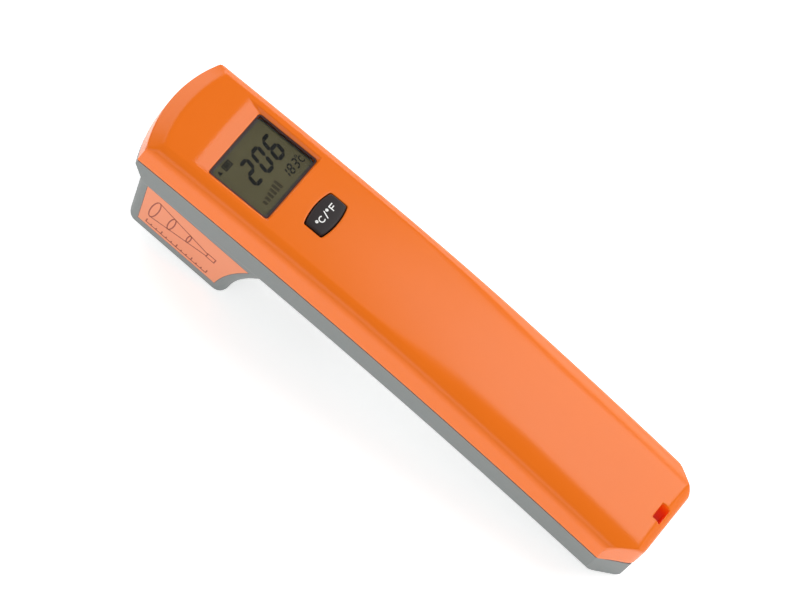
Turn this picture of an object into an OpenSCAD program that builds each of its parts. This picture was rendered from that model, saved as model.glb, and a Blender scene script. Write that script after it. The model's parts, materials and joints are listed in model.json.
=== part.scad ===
// Stick infrared thermometer, standing as it rests on a table: nose foot and rear edge on z = 0.
// Pieces are drawn in the body's own frame (x forward, y left, z up from the parting line) and then posed.

/* [Body] */
// Length of the casing
body_l = 190; // [180:1:205]
// Width of the casing
body_w = 38; // [37.5:0.5:41]
// Depth of the nose's foot below the parting line
foot_depth = 34.5; // [33:0.5:35.5]
// Height of the upper casing above the parting line, half way along
upper_h = 13.8; // [13.6:0.1:14.6]
// Fall of the top towards the front, in degrees
head_fall = 0.9; // [0.6:0.1:1.2]
// Fall of the top towards the rear, in degrees
handle_fall = 1.4; // [1.1:0.1:1.7]
// Depth of the lower casing below the parting line
lower_h = 9.8; // [9.8:0.1:10.6]
// How far the middle of the casing arches above its ends
arch_rise = 3.1; // [2.4:0.1:3.6]
// Wall thickness of the casings
wall = 2; // [1.8:0.1:2]
// Radius of the long top edges of the handle
side_r = 6.5; // [6:0.1:7]
// Radius of the long top edges of the head
head_r = 4; // [2.5:0.1:4.2]
// Radius of the crowned top, seen along the body
crown_r = 300; // [200:10:400]
// Radius of the front end, seen from above
front_r = 45; // [42:1:60]
// Length of the cut rear corners
corner_l = 9.5; // [8:0.5:11]
// Width of the cut rear corners
corner_w = 6.6; // [5:0.2:8]

/* [Display] */
// Distance from the front end to the middle of the window
window_from_front = 33; // [32:0.5:35]
// Length of the window along the body
window_l = 20.8; // [19:0.2:21]
// Width of the window across the body
window_w = 25; // [24:0.2:26]
// Depth of the window below the casing's crown
window_depth = 1.4; // [1.2:0.1:1.6]
// Extra tilt of the display towards the rear end, in degrees
display_tilt = 0.6; // [0:0.1:1.2]

/* [Controls] */
// Distance from the front end to the middle of the unit button
button_from_front = 56.1; // [55.5:0.1:58]
// Size of the unit button along the body
button_l = 7.9; // [7:0.1:8.4]
// Size of the unit button across the body
button_w = 13; // [12:0.2:14]
// Travel of the unit button
button_travel = 0.5; // [0.3:0.1:0.6]
// Length of the trigger from its pin to its tip
trigger_l = 22; // [20:0.5:23]
// Width of the trigger
trigger_w = 13.6; // [12:0.2:14]

/* [Nose] */
// Distance from the front end to the nose, at the casing's underside
nose_from_front = 7; // [6.6:0.1:7.6]
// Width of the nose
nose_w = 34; // [33.5:0.5:35.5]
// Length of the nose's foot
foot_l = 37.2; // [35.4:0.2:38.4]
// Lean of the nose's front face, in degrees
nose_lean = 11; // [10:0.2:12.4]
// Radius of the finger curve behind the nose
finger_r = 32; // [30:1:36]

/* [Battery] */
// Distance from the rear end to the battery
battery_from_rear = 10.5; // [10.2:0.1:11]
// Length of the battery with its terminals
battery_l = 48.5; // [47.5:0.1:48.5]
// Width of the battery
battery_w = 26.5; // [25.5:0.1:26.5]
// Thickness of the battery
battery_h = 17.5; // [16.5:0.1:17.5]

/* [Hidden] */
$fn = 48;
// Facets of a full turn for the long arch, and for arcs drawn as outlines
arch_fn = 1200;
arc_steps = 8;
// Gaps: parting line, moving pieces, seated pieces, sliding fits, pieces that touch
parting_gap = 0.1;
move_gap = 0.35;
seat_gap = 0.05;
slide_gap = 0.05;
hug_gap = 0.02;
// Reach of cutting blocks, larger than any piece
big = 60;

// Casing
front_x = body_l / 2;
rear_x = -body_l / 2;
half_w = body_w / 2;
arch_r = arch_radius(arch_rise);
// The upper casing's inside arches more than the parting line
cavity_rise = arch_rise + 1.4;
// The handle's top, at half length, lies this much above the head's top
handle_lift = 1.1;
// The handle's rounding starts outside the side walls by this much, so it meets them at an edge
handle_over = 0.6;
lower_inset = 0.3;
lower_r = 2.2;
lower_half = half_w - lower_inset;
edge_r = 1.5;
// The lower casing draws back under its front edge by this length and height
chin = [6, 7.6];
front_bevel = [4, 3];
rear_bevel = [3, 2.4];
// The rear end is solid from the wall of the battery bay
bay_end_x = rear_x + 6.5;
// The front end is solid behind its drawn-back lower edge
chin_wall_x = front_x - front_r + sqrt(front_r * front_r - half_w * half_w) - chin[0];
slot_l = 3.1;
slot_w = 5.8;
slot_x = rear_x + 3.6;

// Display deck: the window's outer face is its plane
window_x = front_x - window_from_front;
window_z = head_z(window_x) - window_depth;
deck_tilt = asin(window_x / arch_r) + head_fall + display_tilt;
window_t = 1.1;
gasket_w = 0.5;
recess_l = window_l + 2 * gasket_w + 2 * seat_gap;
recess_w = window_w + 2 * gasket_w + 2 * seat_gap;
recess_r = 1.2;
front_slope = 4.8 / 1.5;
side_slope = 0.9;
rear_slope = 0.5;
ledge = 0.5;
pad_t = 1.8;
lcd_l = 24;
lcd_w = 27.4;
lcd_t = 2.2;
lcd_top = -pad_t - 0.1;
// The cell's front glass reaches up through the ledge to the window
glass_gap = 0.2;
front_glass_top = -window_t - 0.1;
frame_top = lcd_top - 1.15;
frame_wall = 1.4;
connector_h = 4.45;
board_t = 1.6;
board_top = lcd_top - lcd_t - connector_h;
board_w = 32;
tail_w = 19;
board_front = 22;
chip_l = 10;
chip_t = 1.4;
capacitor_r = 2;
capacitor_h = 2.6;
capacitor_step = 6;
screw_r = 1;
screw_head_r = 2;
screw_head_h = 1.5;

// Unit button and its switch, in the deck's frame
button_x = front_x - button_from_front;
button_dx = button_x - window_x;
button_surface = deck_surface(button_dx, 0);
button_proud = 0.7;
button_bulge = 0.95;
button_rim = 1.2;
button_stem_r = 1.6;
flange_drop = 0.6;
flange_t = 1;
switch_size = 6;
switch_h = 3.5;
plunger_r = 1.75;
plunger_out = 0.9;

// Nose
nose_top_x = front_x - nose_from_front;
nose_top_z = body_z(nose_top_x, -lower_h);
foot_z = -foot_depth;
foot_front_x = nose_top_x - (nose_top_z - foot_z) * tan(nose_lean);
foot_rear_x = foot_front_x - foot_l;
finger_x = foot_rear_x - finger_r;
finger_z = foot_z + edge_r;
nose_back_z = body_z(foot_rear_x - 6, -lower_h);
nose_edge_r = 3.5;
optic_z = (nose_top_z + foot_z) / 2;
optic_x = nose_top_x - (nose_top_z - optic_z) * tan(nose_lean);
lens_y = -3;
laser_y = 10.4;
bezel_w = 27.2;
bezel_h = 14.6;
bezel_t = 2;
bezel_back = -0.5 - bezel_t;
barrel_r = 7.6;
barrel_front = bezel_back - seat_gap;
barrel_rear = -24;
lens_r = 6.5;
lens_seat = -8;
laser_r = 3;
laser_rear = -16.5;
laser_window_r = 2.3;
sensor_board_t = 1.2;
socket_h = 2.2;
board_bottom = board_top - board_t;
// The flat cable runs up square to the optic axis to the socket under the board
cable_x = optic_x + (barrel_rear - sensor_board_t) * cos(nose_lean);
cable_z = optic_z - (barrel_rear - sensor_board_t) * sin(nose_lean);
socket_z = window_z + (board_bottom - socket_h) * cos(deck_tilt);
cable_end = (socket_z - 0.5 - cable_z) / cos(nose_lean);
socket_dx = cable_x + cable_end * sin(nose_lean) - window_x - board_bottom * sin(deck_tilt);
lead_r = 0.5;
label_t = 0.35;
label_margin = [4.2, 4, 2.8, 1.2];
nose_boss_h = 3.6;
cradle_t = 1.6;

// Trigger
trigger_tip_x = finger_x + sqrt(finger_r * finger_r - pow(nose_back_z - finger_z, 2)) - 1;
pivot_x = trigger_tip_x - trigger_l;
hub_r = 2.4;
pivot_z = body_z(pivot_x, -lower_h + wall) + hub_r + 0.2;
pin_r = 1;
lug_t = 2.4;
trigger_switch_dx = trigger_tip_x - 5.3 - window_x;
trigger_switch_h = 4.3;
trigger_plunger_out = 1.7;
trigger_plunger_r = 1.7;
// The tip swings forward as the trigger is pulled
tip_gap = 0.85;
opening_front = trigger_tip_x + tip_gap;
opening_rear = pivot_x - hub_r - move_gap;

// Battery, door and its hinge
battery_x = rear_x + battery_from_rear + battery_l / 2;
battery_front = battery_x + battery_l / 2;
battery_tilt = asin(-battery_x / arch_r);
battery_z = body_z(battery_x, -lower_h + wall) + 0.4 + battery_h / 2;
terminal_l = 2.1;
terminal_gap = 12.95;
post_r = 2.9;
socket_r = 4.25;
snap_t = 3.6;
snap_w = battery_w - 1.5;
snap_h = 11;
hinge_x = battery_front + 3;
hinge_r = wall + 0.2;
// The hinge's barrel sits a little above the door's outer face
hinge_z = body_z(hinge_x, -lower_h) + hinge_r + 0.15;
trunnion_r = 1.2;
door_half = 13.4;
door_rear_x = rear_x + 8;
rib_t = 1.4;

// Board ends and screws
board_rear = battery_front + 14 - window_x;
tail_front = trigger_tip_x - 26 - window_x;
board_screw_spots = [[19.5, 11], [19.5, -11], [board_rear + 3, 6.5], [board_rear + 3, -6.5]];
shell_screw_spots = [[pivot_x - 9, 13.2], [pivot_x - 9, -13.2], [battery_front + 9.5, 13.2],
    [battery_front + 9.5, -13.2]];
pillar_r = 3;
shell_screw_r = 1.3;
shell_head_r = 2.3;
shell_head_h = 1.8;
shell_screw_l = 13.5;
head_depth = 2.4;
nose_boss_y = nose_w / 2 - wall - 2.8;
nose_screw_spots = [for (x = [nose_top_x - 35, nose_top_x - 8.4], s = [-1, 1]) [x, s * nose_boss_y]];

// Rest pose: the floor touches the nose's rear foot edge and the casing's rear edge, both rounded alike
rest_front = [foot_rear_x + edge_r, foot_z + edge_r];
rest_rear = [rear_x + lower_inset + edge_r, body_z(rear_x + edge_r, -lower_h) + edge_r];
rest_tilt = atan2(rest_rear[1] - rest_front[1], rest_front[0] - rest_rear[0]);
rest_lift = edge_r - rest_rear[0] * sin(rest_tilt) - rest_rear[1] * cos(rest_tilt);
chin_z = body_z(front_x - lower_inset - chin[0], -lower_h);
front_edge = [front_x - lower_inset, chin_z + chin[1]];
most_forward = front_edge[0] * cos(rest_tilt) - front_edge[1] * sin(rest_tilt);
rear_top = handle_z(rear_x) - rear_bevel[1];
most_rearward = rear_x * cos(rest_tilt) - rear_top * sin(rest_tilt);
rest_shift = -(most_forward + most_rearward) / 2;

function arch_radius(rise) = (front_x * front_x + rise * rise) / (2 * rise);
// Height in the body's frame of a point h above the arched parting line
function body_z(x, h) = sqrt(pow(arch_r + h, 2) - x * x) - arch_r;
function arc(x, y, r, from, to, steps) =
    [for (i = [0:steps]) let (a = from + (to - from) * i / steps) [x + r * cos(a), y + r * sin(a)]];
function inner_points(points) = [for (i = [1:len(points) - 2]) points[i]];
// Heights of the head's and the handle's top on the centre line, in the body's frame
function sloped_z(x, h, fall) =
    sqrt(pow(arch_r + h, 2) - pow(x + arch_r * sin(fall), 2)) - arch_r * cos(fall);
function head_z(x) = sloped_z(x, upper_h, head_fall);
function handle_z(x) = sloped_z(x, upper_h + handle_lift, -handle_fall);
// Height of the casing's top over the deck's plane, at a spot in the deck's frame
function deck_surface(dx, y) = dx * sin(deck_tilt) - y * y / (2 * crown_r)
    + (min(head_z(window_x + dx), handle_z(window_x + dx)) - window_z) * cos(deck_tilt);
// Outline across the casing, half as wide as given, its top at height h with edges of radius r
function top_outline(half, h, r) =
    let (y = half - r, low = h - crown_r, rise = sqrt(pow(crown_r - r, 2) - y * y),
         z = low + rise, end = atan2(rise, y))
    concat([[half, -big / 4]], arc(y, z, r, 0, end, arc_steps),
        inner_points(arc(0, low, crown_r, end, 180 - end, arc_steps)),
        arc(-y, z, r, 180 - end, 180, arc_steps), [[-half, -big / 4]]);
// Outline across the lower casing, pulled in by t, open side at height top
function lower_outline(t, top) = concat(
    [[lower_half - t, top]],
    arc(lower_half - lower_r, lower_r - lower_h, lower_r - t, 0, -90, arc_steps),
    arc(lower_r - lower_half, lower_r - lower_h, lower_r - t, -90, -180, arc_steps),
    [[t - lower_half, top]]);
function rounded_outline(l, w, r) = concat(
    arc(l / 2 - r, w / 2 - r, r, 0, 90, arc_steps), arc(r - l / 2, w / 2 - r, r, 90, 180, arc_steps),
    arc(r - l / 2, r - w / 2, r, 180, 270, arc_steps), arc(l / 2 - r, r - w / 2, r, 270, 360, arc_steps));

module at_rest() {
    translate([rest_shift, 0, rest_lift]) rotate([0, -rest_tilt, 0]) children();
}
module on_deck() {
    translate([window_x, 0, window_z]) rotate([0, deck_tilt, 0]) children();
}
module on_optic(y = 0) {
    translate([optic_x, y, optic_z]) rotate([0, nose_lean, 0]) children();
}
module on_battery() {
    translate([battery_x, 0, battery_z]) rotate([0, -battery_tilt, 0]) children();
}
// Sweeps an outline of (y, height) along the arched body
module arched(radius = arch_r) {
    turn = 2 * asin((front_x + 4) / radius);
    translate([0, 0, -radius]) rotate([90, 0, 0])
        rotate_extrude(angle = turn, start = 90 - turn / 2, $fn = arch_fn)
            translate([radius, 0]) rotate(-90) children();
}
// Extrudes an outline of (x, z) across the body
module across(width) {
    rotate([90, 0, 0]) linear_extrude(width, center = true) children();
}
// Extrudes an outline of (y, z) along the body
module along(length) {
    rotate([90, 0, 90]) linear_extrude(length, center = true) children();
}
// Outline of the casing from above, pulled in by t, as a tall prism
module plan_prism(t) {
    translate([0, 0, -big / 2]) linear_extrude(big) intersection() {
        polygon([[front_x + 5, half_w - t], [rear_x + corner_l, half_w - t],
                 [rear_x + t, half_w - corner_w], [rear_x + t, corner_w - half_w],
                 [rear_x + corner_l, t - half_w], [front_x + 5, t - half_w]]);
        union() {
            translate([rear_x - 5, -half_w - 5]) square([body_l - 5, body_w + 10]);
            translate([front_x - front_r, 0]) circle(front_r - t, $fn = 240);
        }
    }
}
// A plate of length, width and thickness with rounded corners, its lower face at z
module plate(l, w, t, z, r = 1) {
    translate([0, 0, z]) linear_extrude(t) polygon(rounded_outline(l, w, r));
}
module block(from, to) {
    translate(from) cube(to - from);
}
// Round bar along x in the current frame
module bar_x(r, from, to) {
    translate([from, 0, 0]) rotate([0, 90, 0]) cylinder(r = r, h = to - from);
}
module bar_y(r, length) {
    rotate([90, 0, 0]) cylinder(r = r, h = length, center = true);
}
// Straight wire between two points of one upright plane at y
module wire(from, to, r) {
    run = to - from;
    translate(from) rotate([0, atan2(run[0], run[2]), 0]) cylinder(r = r, h = norm(run));
}
// Cuts a bevel of length and height off the top edge of an end wall that stands at x = 0 and faces -x
module bevel_cut(size, width) {
    slope = size[1] / size[0];
    across(width) polygon([[-2, -size[1] - 2 * slope], [size[0] + 4, 4 * slope], [-2, 12]]);
}
// Rounds the lower edge of an end wall that stands at x = 0 and faces -x, with its foot at z = 0
module edge_round_cut(width) {
    difference() {
        block([-2, -width / 2, -2], [edge_r, width / 2, edge_r]);
        translate([edge_r, 0, edge_r]) bar_y(edge_r, width + 2);
    }
}
module lanyard_slot() {
    translate([slot_x, 0, 0]) cube([slot_l, slot_w, big], center = true);
}
module button_outline(gap) {
    side_arc = (pow(button_w / 2, 2) + button_bulge * button_bulge) / (2 * button_bulge);
    shift = side_arc - button_l / 2;
    intersection() {
        square([button_l + 2 * gap, button_w + 2 * gap], center = true);
        translate([shift, 0]) circle(side_arc + gap, $fn = 200);
        translate([-shift, 0]) circle(side_arc + gap, $fn = 200);
    }
}

// Upper casing
module front_bevel_cut() {
    top = head_z(front_x);
    slope = front_bevel[1] / front_bevel[0];
    span = 2 * asin(half_w / front_r) + 20;
    translate([front_x - front_r, 0, 0]) rotate_extrude(angle = span, start = -span / 2, $fn = 240)
        polygon([[front_r + 2, top - front_bevel[1] - 2 * slope],
                 [front_r + 2, top + 8], [front_r - front_bevel[0] - 4, top + 4 * slope]]);
}
module rear_bevel_cuts() {
    top = handle_z(rear_x);
    corner_turn = atan2(corner_l, corner_w);
    translate([rear_x, 0, top]) bevel_cut(rear_bevel, big);
    for (s = [-1, 1])
        translate([rear_x + corner_l / 2, s * (half_w - corner_w / 2), top - 0.8])
            rotate([0, 0, -s * corner_turn]) bevel_cut(rear_bevel, big);
}
module display_recess() {
    on_deck() intersection() {
        across(big) polygon([[-recess_l / 2, 0], [recess_l / 2, 0], [recess_l / 2 + 6 * front_slope, 6],
                             [-recess_l / 2 - 6 * rear_slope, 6]]);
        along(big) polygon([[-recess_w / 2, 0], [recess_w / 2, 0], [recess_w / 2 + 6 * side_slope, 6],
                            [-recess_w / 2 - 6 * side_slope, 6]]);
    }
}
module window_openings() {
    on_deck() {
        plate(recess_l, recess_w, window_t + 1, -window_t, recess_r);
        plate(recess_l - 2 * ledge, recess_w - 2 * ledge, big / 4, -big / 8, recess_r);
        translate([button_dx, 0, -big / 8]) linear_extrude(big / 4) button_outline(move_gap);
    }
}
module upper_skin() {
    intersection() {
        rotate([0, head_fall, 0]) arched() polygon(top_outline(half_w, upper_h, head_r));
        rotate([0, -handle_fall, 0]) arched()
            polygon(top_outline(half_w + handle_over, upper_h + handle_lift, side_r));
        arched() translate([-big / 2, parting_gap / 2]) square([big, big]);
        plan_prism(0);
    }
}
module upper_cavity() {
    intersection() {
        arched(arch_radius(cavity_rise)) polygon(top_outline(half_w - wall, upper_h - wall, side_r - wall));
        plan_prism(wall);
        block([bay_end_x, -big, -big], [big * 2, big, big]);
    }
}
// Pillar from the height base up into the top wall at a spot in the body's frame
module upper_pillar(spot, base, r) {
    top = min(head_z(spot[0]), handle_z(spot[0])) - wall + 0.6;
    translate([spot[0], spot[1], base]) cylinder(r = r, h = top - base);
}
module board_pillars() {
    on_deck() for (spot = board_screw_spots)
        translate([spot[0], spot[1], board_top])
            cylinder(r = 2.6, h = deck_surface(spot[0], spot[1]) - wall / 2 - board_top);
}
module upper_shell() {
    color("#f57c27") at_rest() difference() {
        union() {
            difference() {
                upper_skin();
                upper_cavity();
            }
            on_deck() translate([0, 0, -pad_t])
                linear_extrude(pad_t) square([recess_l + 5, recess_w + 4.4], center = true);
            board_pillars();
            for (spot = shell_screw_spots)
                upper_pillar(spot, body_z(spot[0], 0.4), pillar_r);
        }
        front_bevel_cut();
        rear_bevel_cuts();
        display_recess();
        window_openings();
        lanyard_slot();
        on_deck() for (spot = board_screw_spots)
            translate([spot[0], spot[1], board_top - 1]) cylinder(r = screw_r + slide_gap, h = 5);
        for (spot = shell_screw_spots)
            translate([spot[0], spot[1], -2]) cylinder(r = shell_screw_r + slide_gap, h = 9);
    }
}

// Lower casing
module lower_skin() {
    intersection() {
        arched() polygon(lower_outline(0, -parting_gap / 2));
        plan_prism(lower_inset);
    }
}
// What the lower casing lacks under its front edge, along the front arc
module chin_cut() {
    span = 2 * asin(half_w / front_r) + 20;
    run = chin / norm(chin);
    low = [front_r - lower_inset - chin[0], chin_z];
    translate([front_x - front_r, 0, 0]) rotate_extrude(angle = span, start = -span / 2, $fn = 240)
        polygon([low - 4 * run, low + [chin[0] + 8, -4 * run[1]], low + 15 * run]);
}
module lower_cavity() {
    intersection() {
        arched() polygon(lower_outline(wall, 1));
        plan_prism(wall + lower_inset);
        block([bay_end_x, -big, -big], [chin_wall_x, big, big]);
    }
}
module battery_ribs() {
    for (s = [-1, 1]) intersection() {
        arched() translate([s * (battery_w / 2 + 0.5 + rib_t / 2), -lower_h / 2])
            square([rib_t, lower_h - 2], center = true);
        block([battery_x - 20, -half_w, -big], [battery_x + 16, half_w, big]);
    }
}
module trigger_lugs() {
    base = body_z(pivot_x, -lower_h + wall / 2);
    for (s = [-1, 1]) translate([pivot_x, s * (trigger_w / 2 + move_gap + lug_t / 2), 0]) {
        block([-hub_r, -lug_t / 2, base], [hub_r, lug_t / 2, pivot_z]);
        translate([0, 0, pivot_z]) bar_y(hub_r, lug_t);
    }
}
module door_lugs() {
    base = body_z(hinge_x, -lower_h + wall / 2);
    for (s = [-1, 1])
        translate([hinge_x, s * (door_half + move_gap + lug_t / 2), 0])
            block([-2.6, -lug_t / 2, base], [2.6, lug_t / 2, hinge_z + 2.6]);
}
module lower_pillars() {
    for (spot = shell_screw_spots)
        translate([spot[0], spot[1], body_z(spot[0], -lower_h + 1)])
            cylinder(r = pillar_r, h = lower_h - 1 - parting_gap);
}
module door_opening() {
    block([door_rear_x - move_gap, -door_half - move_gap, -big],
          [hinge_x + hinge_r + move_gap, door_half + move_gap, body_z(hinge_x, -lower_h) + wall + 0.6]);
}
module lower_shell() {
    color("#848f91") at_rest() difference() {
        union() {
            difference() {
                lower_skin();
                lower_cavity();
                door_opening();
                block([opening_rear, -trigger_w / 2 - move_gap, -big],
                      [opening_front, trigger_w / 2 + move_gap, 0]);
                block([nose_top_x - 31.7, -12.6, -big], [nose_top_x - 11.7, 12.6, 0]);
            }
            battery_ribs();
            trigger_lugs();
            door_lugs();
            lower_pillars();
        }
        lanyard_slot();
        translate([rear_x + lower_inset, 0, body_z(rear_x + edge_r, -lower_h)]) edge_round_cut(big);
        chin_cut();
        translate([pivot_x, 0, pivot_z]) bar_y(pin_r + 0.03, 2 * (trigger_w / 2 + move_gap + lug_t) + 1);
        translate([hinge_x, 0, hinge_z])
            bar_y(trunnion_r + slide_gap, 2 * (door_half + move_gap + lug_t) - 0.6);
        for (spot = shell_screw_spots) translate([spot[0], spot[1], body_z(spot[0], -lower_h)]) {
            translate([0, 0, -2]) cylinder(r = shell_head_r + 0.2, h = 2 + head_depth);
            cylinder(r = shell_screw_r + slide_gap, h = big);
        }
        for (spot = nose_screw_spots)
            translate([spot[0], spot[1], -big]) cylinder(r = screw_r + slide_gap, h = big);
    }
}

// Nose
// Outline of the nose from the side, pulled in by t: leaning front, rounded foot, open rear and top
module nose_side(t) {
    lean = tan(nose_lean);
    toe_r = edge_r + 0.8;
    rise = 30;
    polygon(concat(
        [[foot_front_x + rise * lean - t, foot_z + rise], [finger_x, foot_z + rise],
         [finger_x, foot_z + edge_r + 8]],
        arc(foot_rear_x + edge_r, foot_z + edge_r, max(edge_r - t, 0.05), 200, 270, arc_steps),
        arc(foot_front_x + toe_r * (lean - 1), foot_z + toe_r, toe_r - t, 270, 360 - nose_lean,
            arc_steps)));
}
module nose_block(t) {
    half = nose_w / 2 - t;
    r = nose_edge_r - t;
    reach = 80;
    intersection() {
        across(2 * half) nose_side(t);
        on_optic() translate([0, 0, -big]) linear_extrude(2 * big) polygon(concat(
            arc(-t - r, half - r, r, 0, 90, arc_steps), [[-reach, half], [-reach, -half]],
            arc(-t - r, r - half, r, -90, 0, arc_steps)));
        translate([finger_x, 0, finger_z]) rotate([90, 0, 0])
            rotate_extrude(angle = 140, start = -20, $fn = 200) polygon(concat(
                [[reach, half]], arc(finger_r + t + r, half - r, r, 90, 180, arc_steps),
                arc(finger_r + t + r, r - half, r, 180, 270, arc_steps), [[reach, -half]]));
    }
}
// Everything above the casing's underside
module above_underside() {
    arched() translate([-big / 2, -lower_h - seat_gap]) square([big, big]);
}
// Panel on the nose's side, grown by gap
module label_outline(gap) {
    lean = tan(nose_lean);
    front = foot_front_x - label_margin[0] + gap;
    low = foot_z + label_margin[2] - gap;
    high = nose_top_z - label_margin[3] + gap;
    difference() {
        polygon([[front + (low - foot_z) * lean, low], [front + (high - foot_z) * lean, high],
                 [finger_x, high], [finger_x, low]]);
        translate([finger_x, finger_z]) circle(finger_r + label_margin[1] - gap, $fn = 200);
    }
}
module label(side) {
    translate([0, side * (nose_w / 2 - label_t / 2), 0]) across(label_t) label_outline(0);
}
module bezel_outline(gap) {
    polygon(rounded_outline(bezel_h + 2 * gap, bezel_w + 2 * gap, 3));
}
// Cradles for the barrel and the laser, cut out by the tubes that lie in them
module nose_cradles() {
    difference() {
        for (x = [nose_top_x - 12, nose_top_x - 22])
            block([x - cradle_t / 2, (wall - nose_w) / 2, foot_z + wall / 2],
                  [x + cradle_t / 2, (nose_w - wall) / 2, optic_z + 3]);
        on_optic(lens_y) bar_x(barrel_r + seat_gap, -big, big);
        on_optic(laser_y) bar_x(laser_r + seat_gap, -big, big);
    }
}
module nose_housing() {
    color("#7f8a8d") at_rest() difference() {
        union() {
            difference() {
                nose_block(0);
                nose_block(wall);
            }
            nose_cradles();
            for (spot = nose_screw_spots)
                translate([spot[0], spot[1], body_z(spot[0], -lower_h) - nose_boss_h])
                    cylinder(r = pillar_r, h = nose_boss_h + 1);
        }
        above_underside();
        on_optic() rotate([0, 90, 0]) linear_extrude(10, center = true) bezel_outline(seat_gap);
        for (side = [-1, 1])
            translate([0, side * (nose_w / 2 - label_t / 2), 0]) across(label_t + 0.1) label_outline(0.1);
        for (spot = nose_screw_spots)
            translate([spot[0], spot[1], body_z(spot[0], -lower_h) - nose_boss_h - 1])
                cylinder(r = screw_r + slide_gap, h = 7);
    }
}
module nose_bezel() {
    color("#2c2f31") at_rest() difference() {
        on_optic() translate([bezel_back, 0, 0]) rotate([0, 90, 0])
            linear_extrude(bezel_t) bezel_outline(0);
        on_optic(lens_y) translate([bezel_back - 0.1, 0, 0]) rotate([0, 90, 0])
            cylinder(r1 = lens_r - 0.9, r2 = lens_r + 0.1, h = bezel_t + 0.2);
        on_optic(laser_y) bar_x(1.5, -6, 1);
        on_optic(laser_y) bar_x(laser_window_r + slide_gap, -1.65, 1);
    }
}
module label_left() {
    color("#ff9b6a") at_rest() label(1);
}
module label_right() {
    color("#ff9b6a") at_rest() label(-1);
}

// Optics
module sensor_barrel() {
    color("#b9bcbe") at_rest() on_optic(lens_y) difference() {
        bar_x(barrel_r, barrel_rear, barrel_front);
        bar_x(lens_r - 0.8, barrel_rear - 1, 0);
        bar_x(lens_r + slide_gap, lens_seat, 0);
    }
}
module ir_lens() {
    edge_t = 1.2;
    dome_r = 18;
    apex = lens_seat + edge_t + dome_r - sqrt(dome_r * dome_r - lens_r * lens_r);
    color("#d8d4c4") at_rest() on_optic(lens_y) intersection() {
        bar_x(lens_r, lens_seat + seat_gap, apex + 1);
        translate([apex - dome_r, 0, 0]) sphere(dome_r, $fn = 96);
    }
}
module lens_ring() {
    color("#303234") at_rest() on_optic(lens_y) difference() {
        bar_x(lens_r, lens_seat + 1.3, barrel_front);
        bar_x(lens_r - 0.8, lens_seat, 0);
    }
}
module thermopile() {
    color("#c9c9c4") at_rest() on_optic(lens_y) difference() {
        union() {
            bar_x(4.1, barrel_rear + 0.8, barrel_rear + 5);
            bar_x(4.6, barrel_rear, barrel_rear + 0.8);
        }
        bar_x(1.7, barrel_rear + 4.6, barrel_rear + 6);
    }
}
module sensor_board() {
    color("#1f6b3a") at_rest() on_optic(lens_y)
        block([barrel_rear - 0.05 - sensor_board_t, -9, -7.5], [barrel_rear - 0.05, 9, 7.5]);
}
module sensor_cable() {
    back = barrel_rear - 0.1 - sensor_board_t;
    color("#d9b36c") at_rest() on_optic(lens_y) block([back - 0.35, -4, 4], [back, 4, cable_end]);
}
module cable_socket() {
    color("#e8e4d8") at_rest() on_deck()
        translate([socket_dx, lens_y, board_bottom - socket_h / 2])
            cube([3.2, 10, socket_h], center = true);
}
module laser_module() {
    color("#c9a24b") at_rest() on_optic(laser_y) difference() {
        bar_x(laser_r, laser_rear, barrel_front);
        bar_x(1.4, barrel_front - 2, 0);
    }
}
module laser_window() {
    color("#c96a5a") at_rest() on_optic(laser_y) bar_x(laser_window_r, -1.6, -0.8);
}
module laser_leads() {
    back = laser_rear - 1.3 * lead_r;
    from = [optic_x + back * cos(nose_lean), 0, optic_z - back * sin(nose_lean)];
    to_x = from[0] - 2;
    to_z = window_z + (window_x - to_x) * sin(deck_tilt) + (board_bottom - 0.3) * cos(deck_tilt);
    color("#b03030") at_rest() for (y = [laser_y - 0.8, laser_y + 0.8]) translate([0, y, 0])
        wire(from, [to_x, 0, to_z], lead_r);
}

// Display
module display_window() {
    color("#5c5a46") at_rest() on_deck()
        plate(window_l, window_w, window_t - seat_gap, seat_gap - window_t, recess_r - gasket_w);
}
module window_gasket() {
    color("#6b1f12") at_rest() on_deck() difference() {
        plate(window_l + 2 * gasket_w, window_w + 2 * gasket_w, window_t - 2 * seat_gap,
              seat_gap - window_t, recess_r);
        plate(window_l + 2 * hug_gap, window_w + 2 * hug_gap, window_t * 2,
              -window_t * 1.5, recess_r - gasket_w);
    }
}
module lcd_panel() {
    color("#55533f") at_rest() on_deck() {
        plate(lcd_l, lcd_w, lcd_t - 0.04, lcd_top - lcd_t + 0.02, 0.5);
        plate(recess_l - 2 * (ledge + glass_gap), recess_w - 2 * (ledge + glass_gap),
              front_glass_top - lcd_top + lcd_t / 2, lcd_top - lcd_t / 2, recess_r);
    }
}
module lcd_frame() {
    foot = board_top + seat_gap;
    color("#1d1f20") at_rest() on_deck() difference() {
        plate(lcd_l + 0.2 + 2 * frame_wall, lcd_w + 0.2 + 2 * frame_wall, frame_top - foot, foot, 1);
        plate(lcd_l + 0.2, lcd_w + 0.2, big, -big / 2, 0.6);
    }
}
module lcd_connectors() {
    color("#3a3a3a") at_rest() on_deck() for (s = [-1, 1])
        translate([s * (lcd_l / 2 - 1.4), 0, board_top + connector_h / 2])
            cube([2, lcd_w - 2, connector_h - 0.04], center = true);
}

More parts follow.
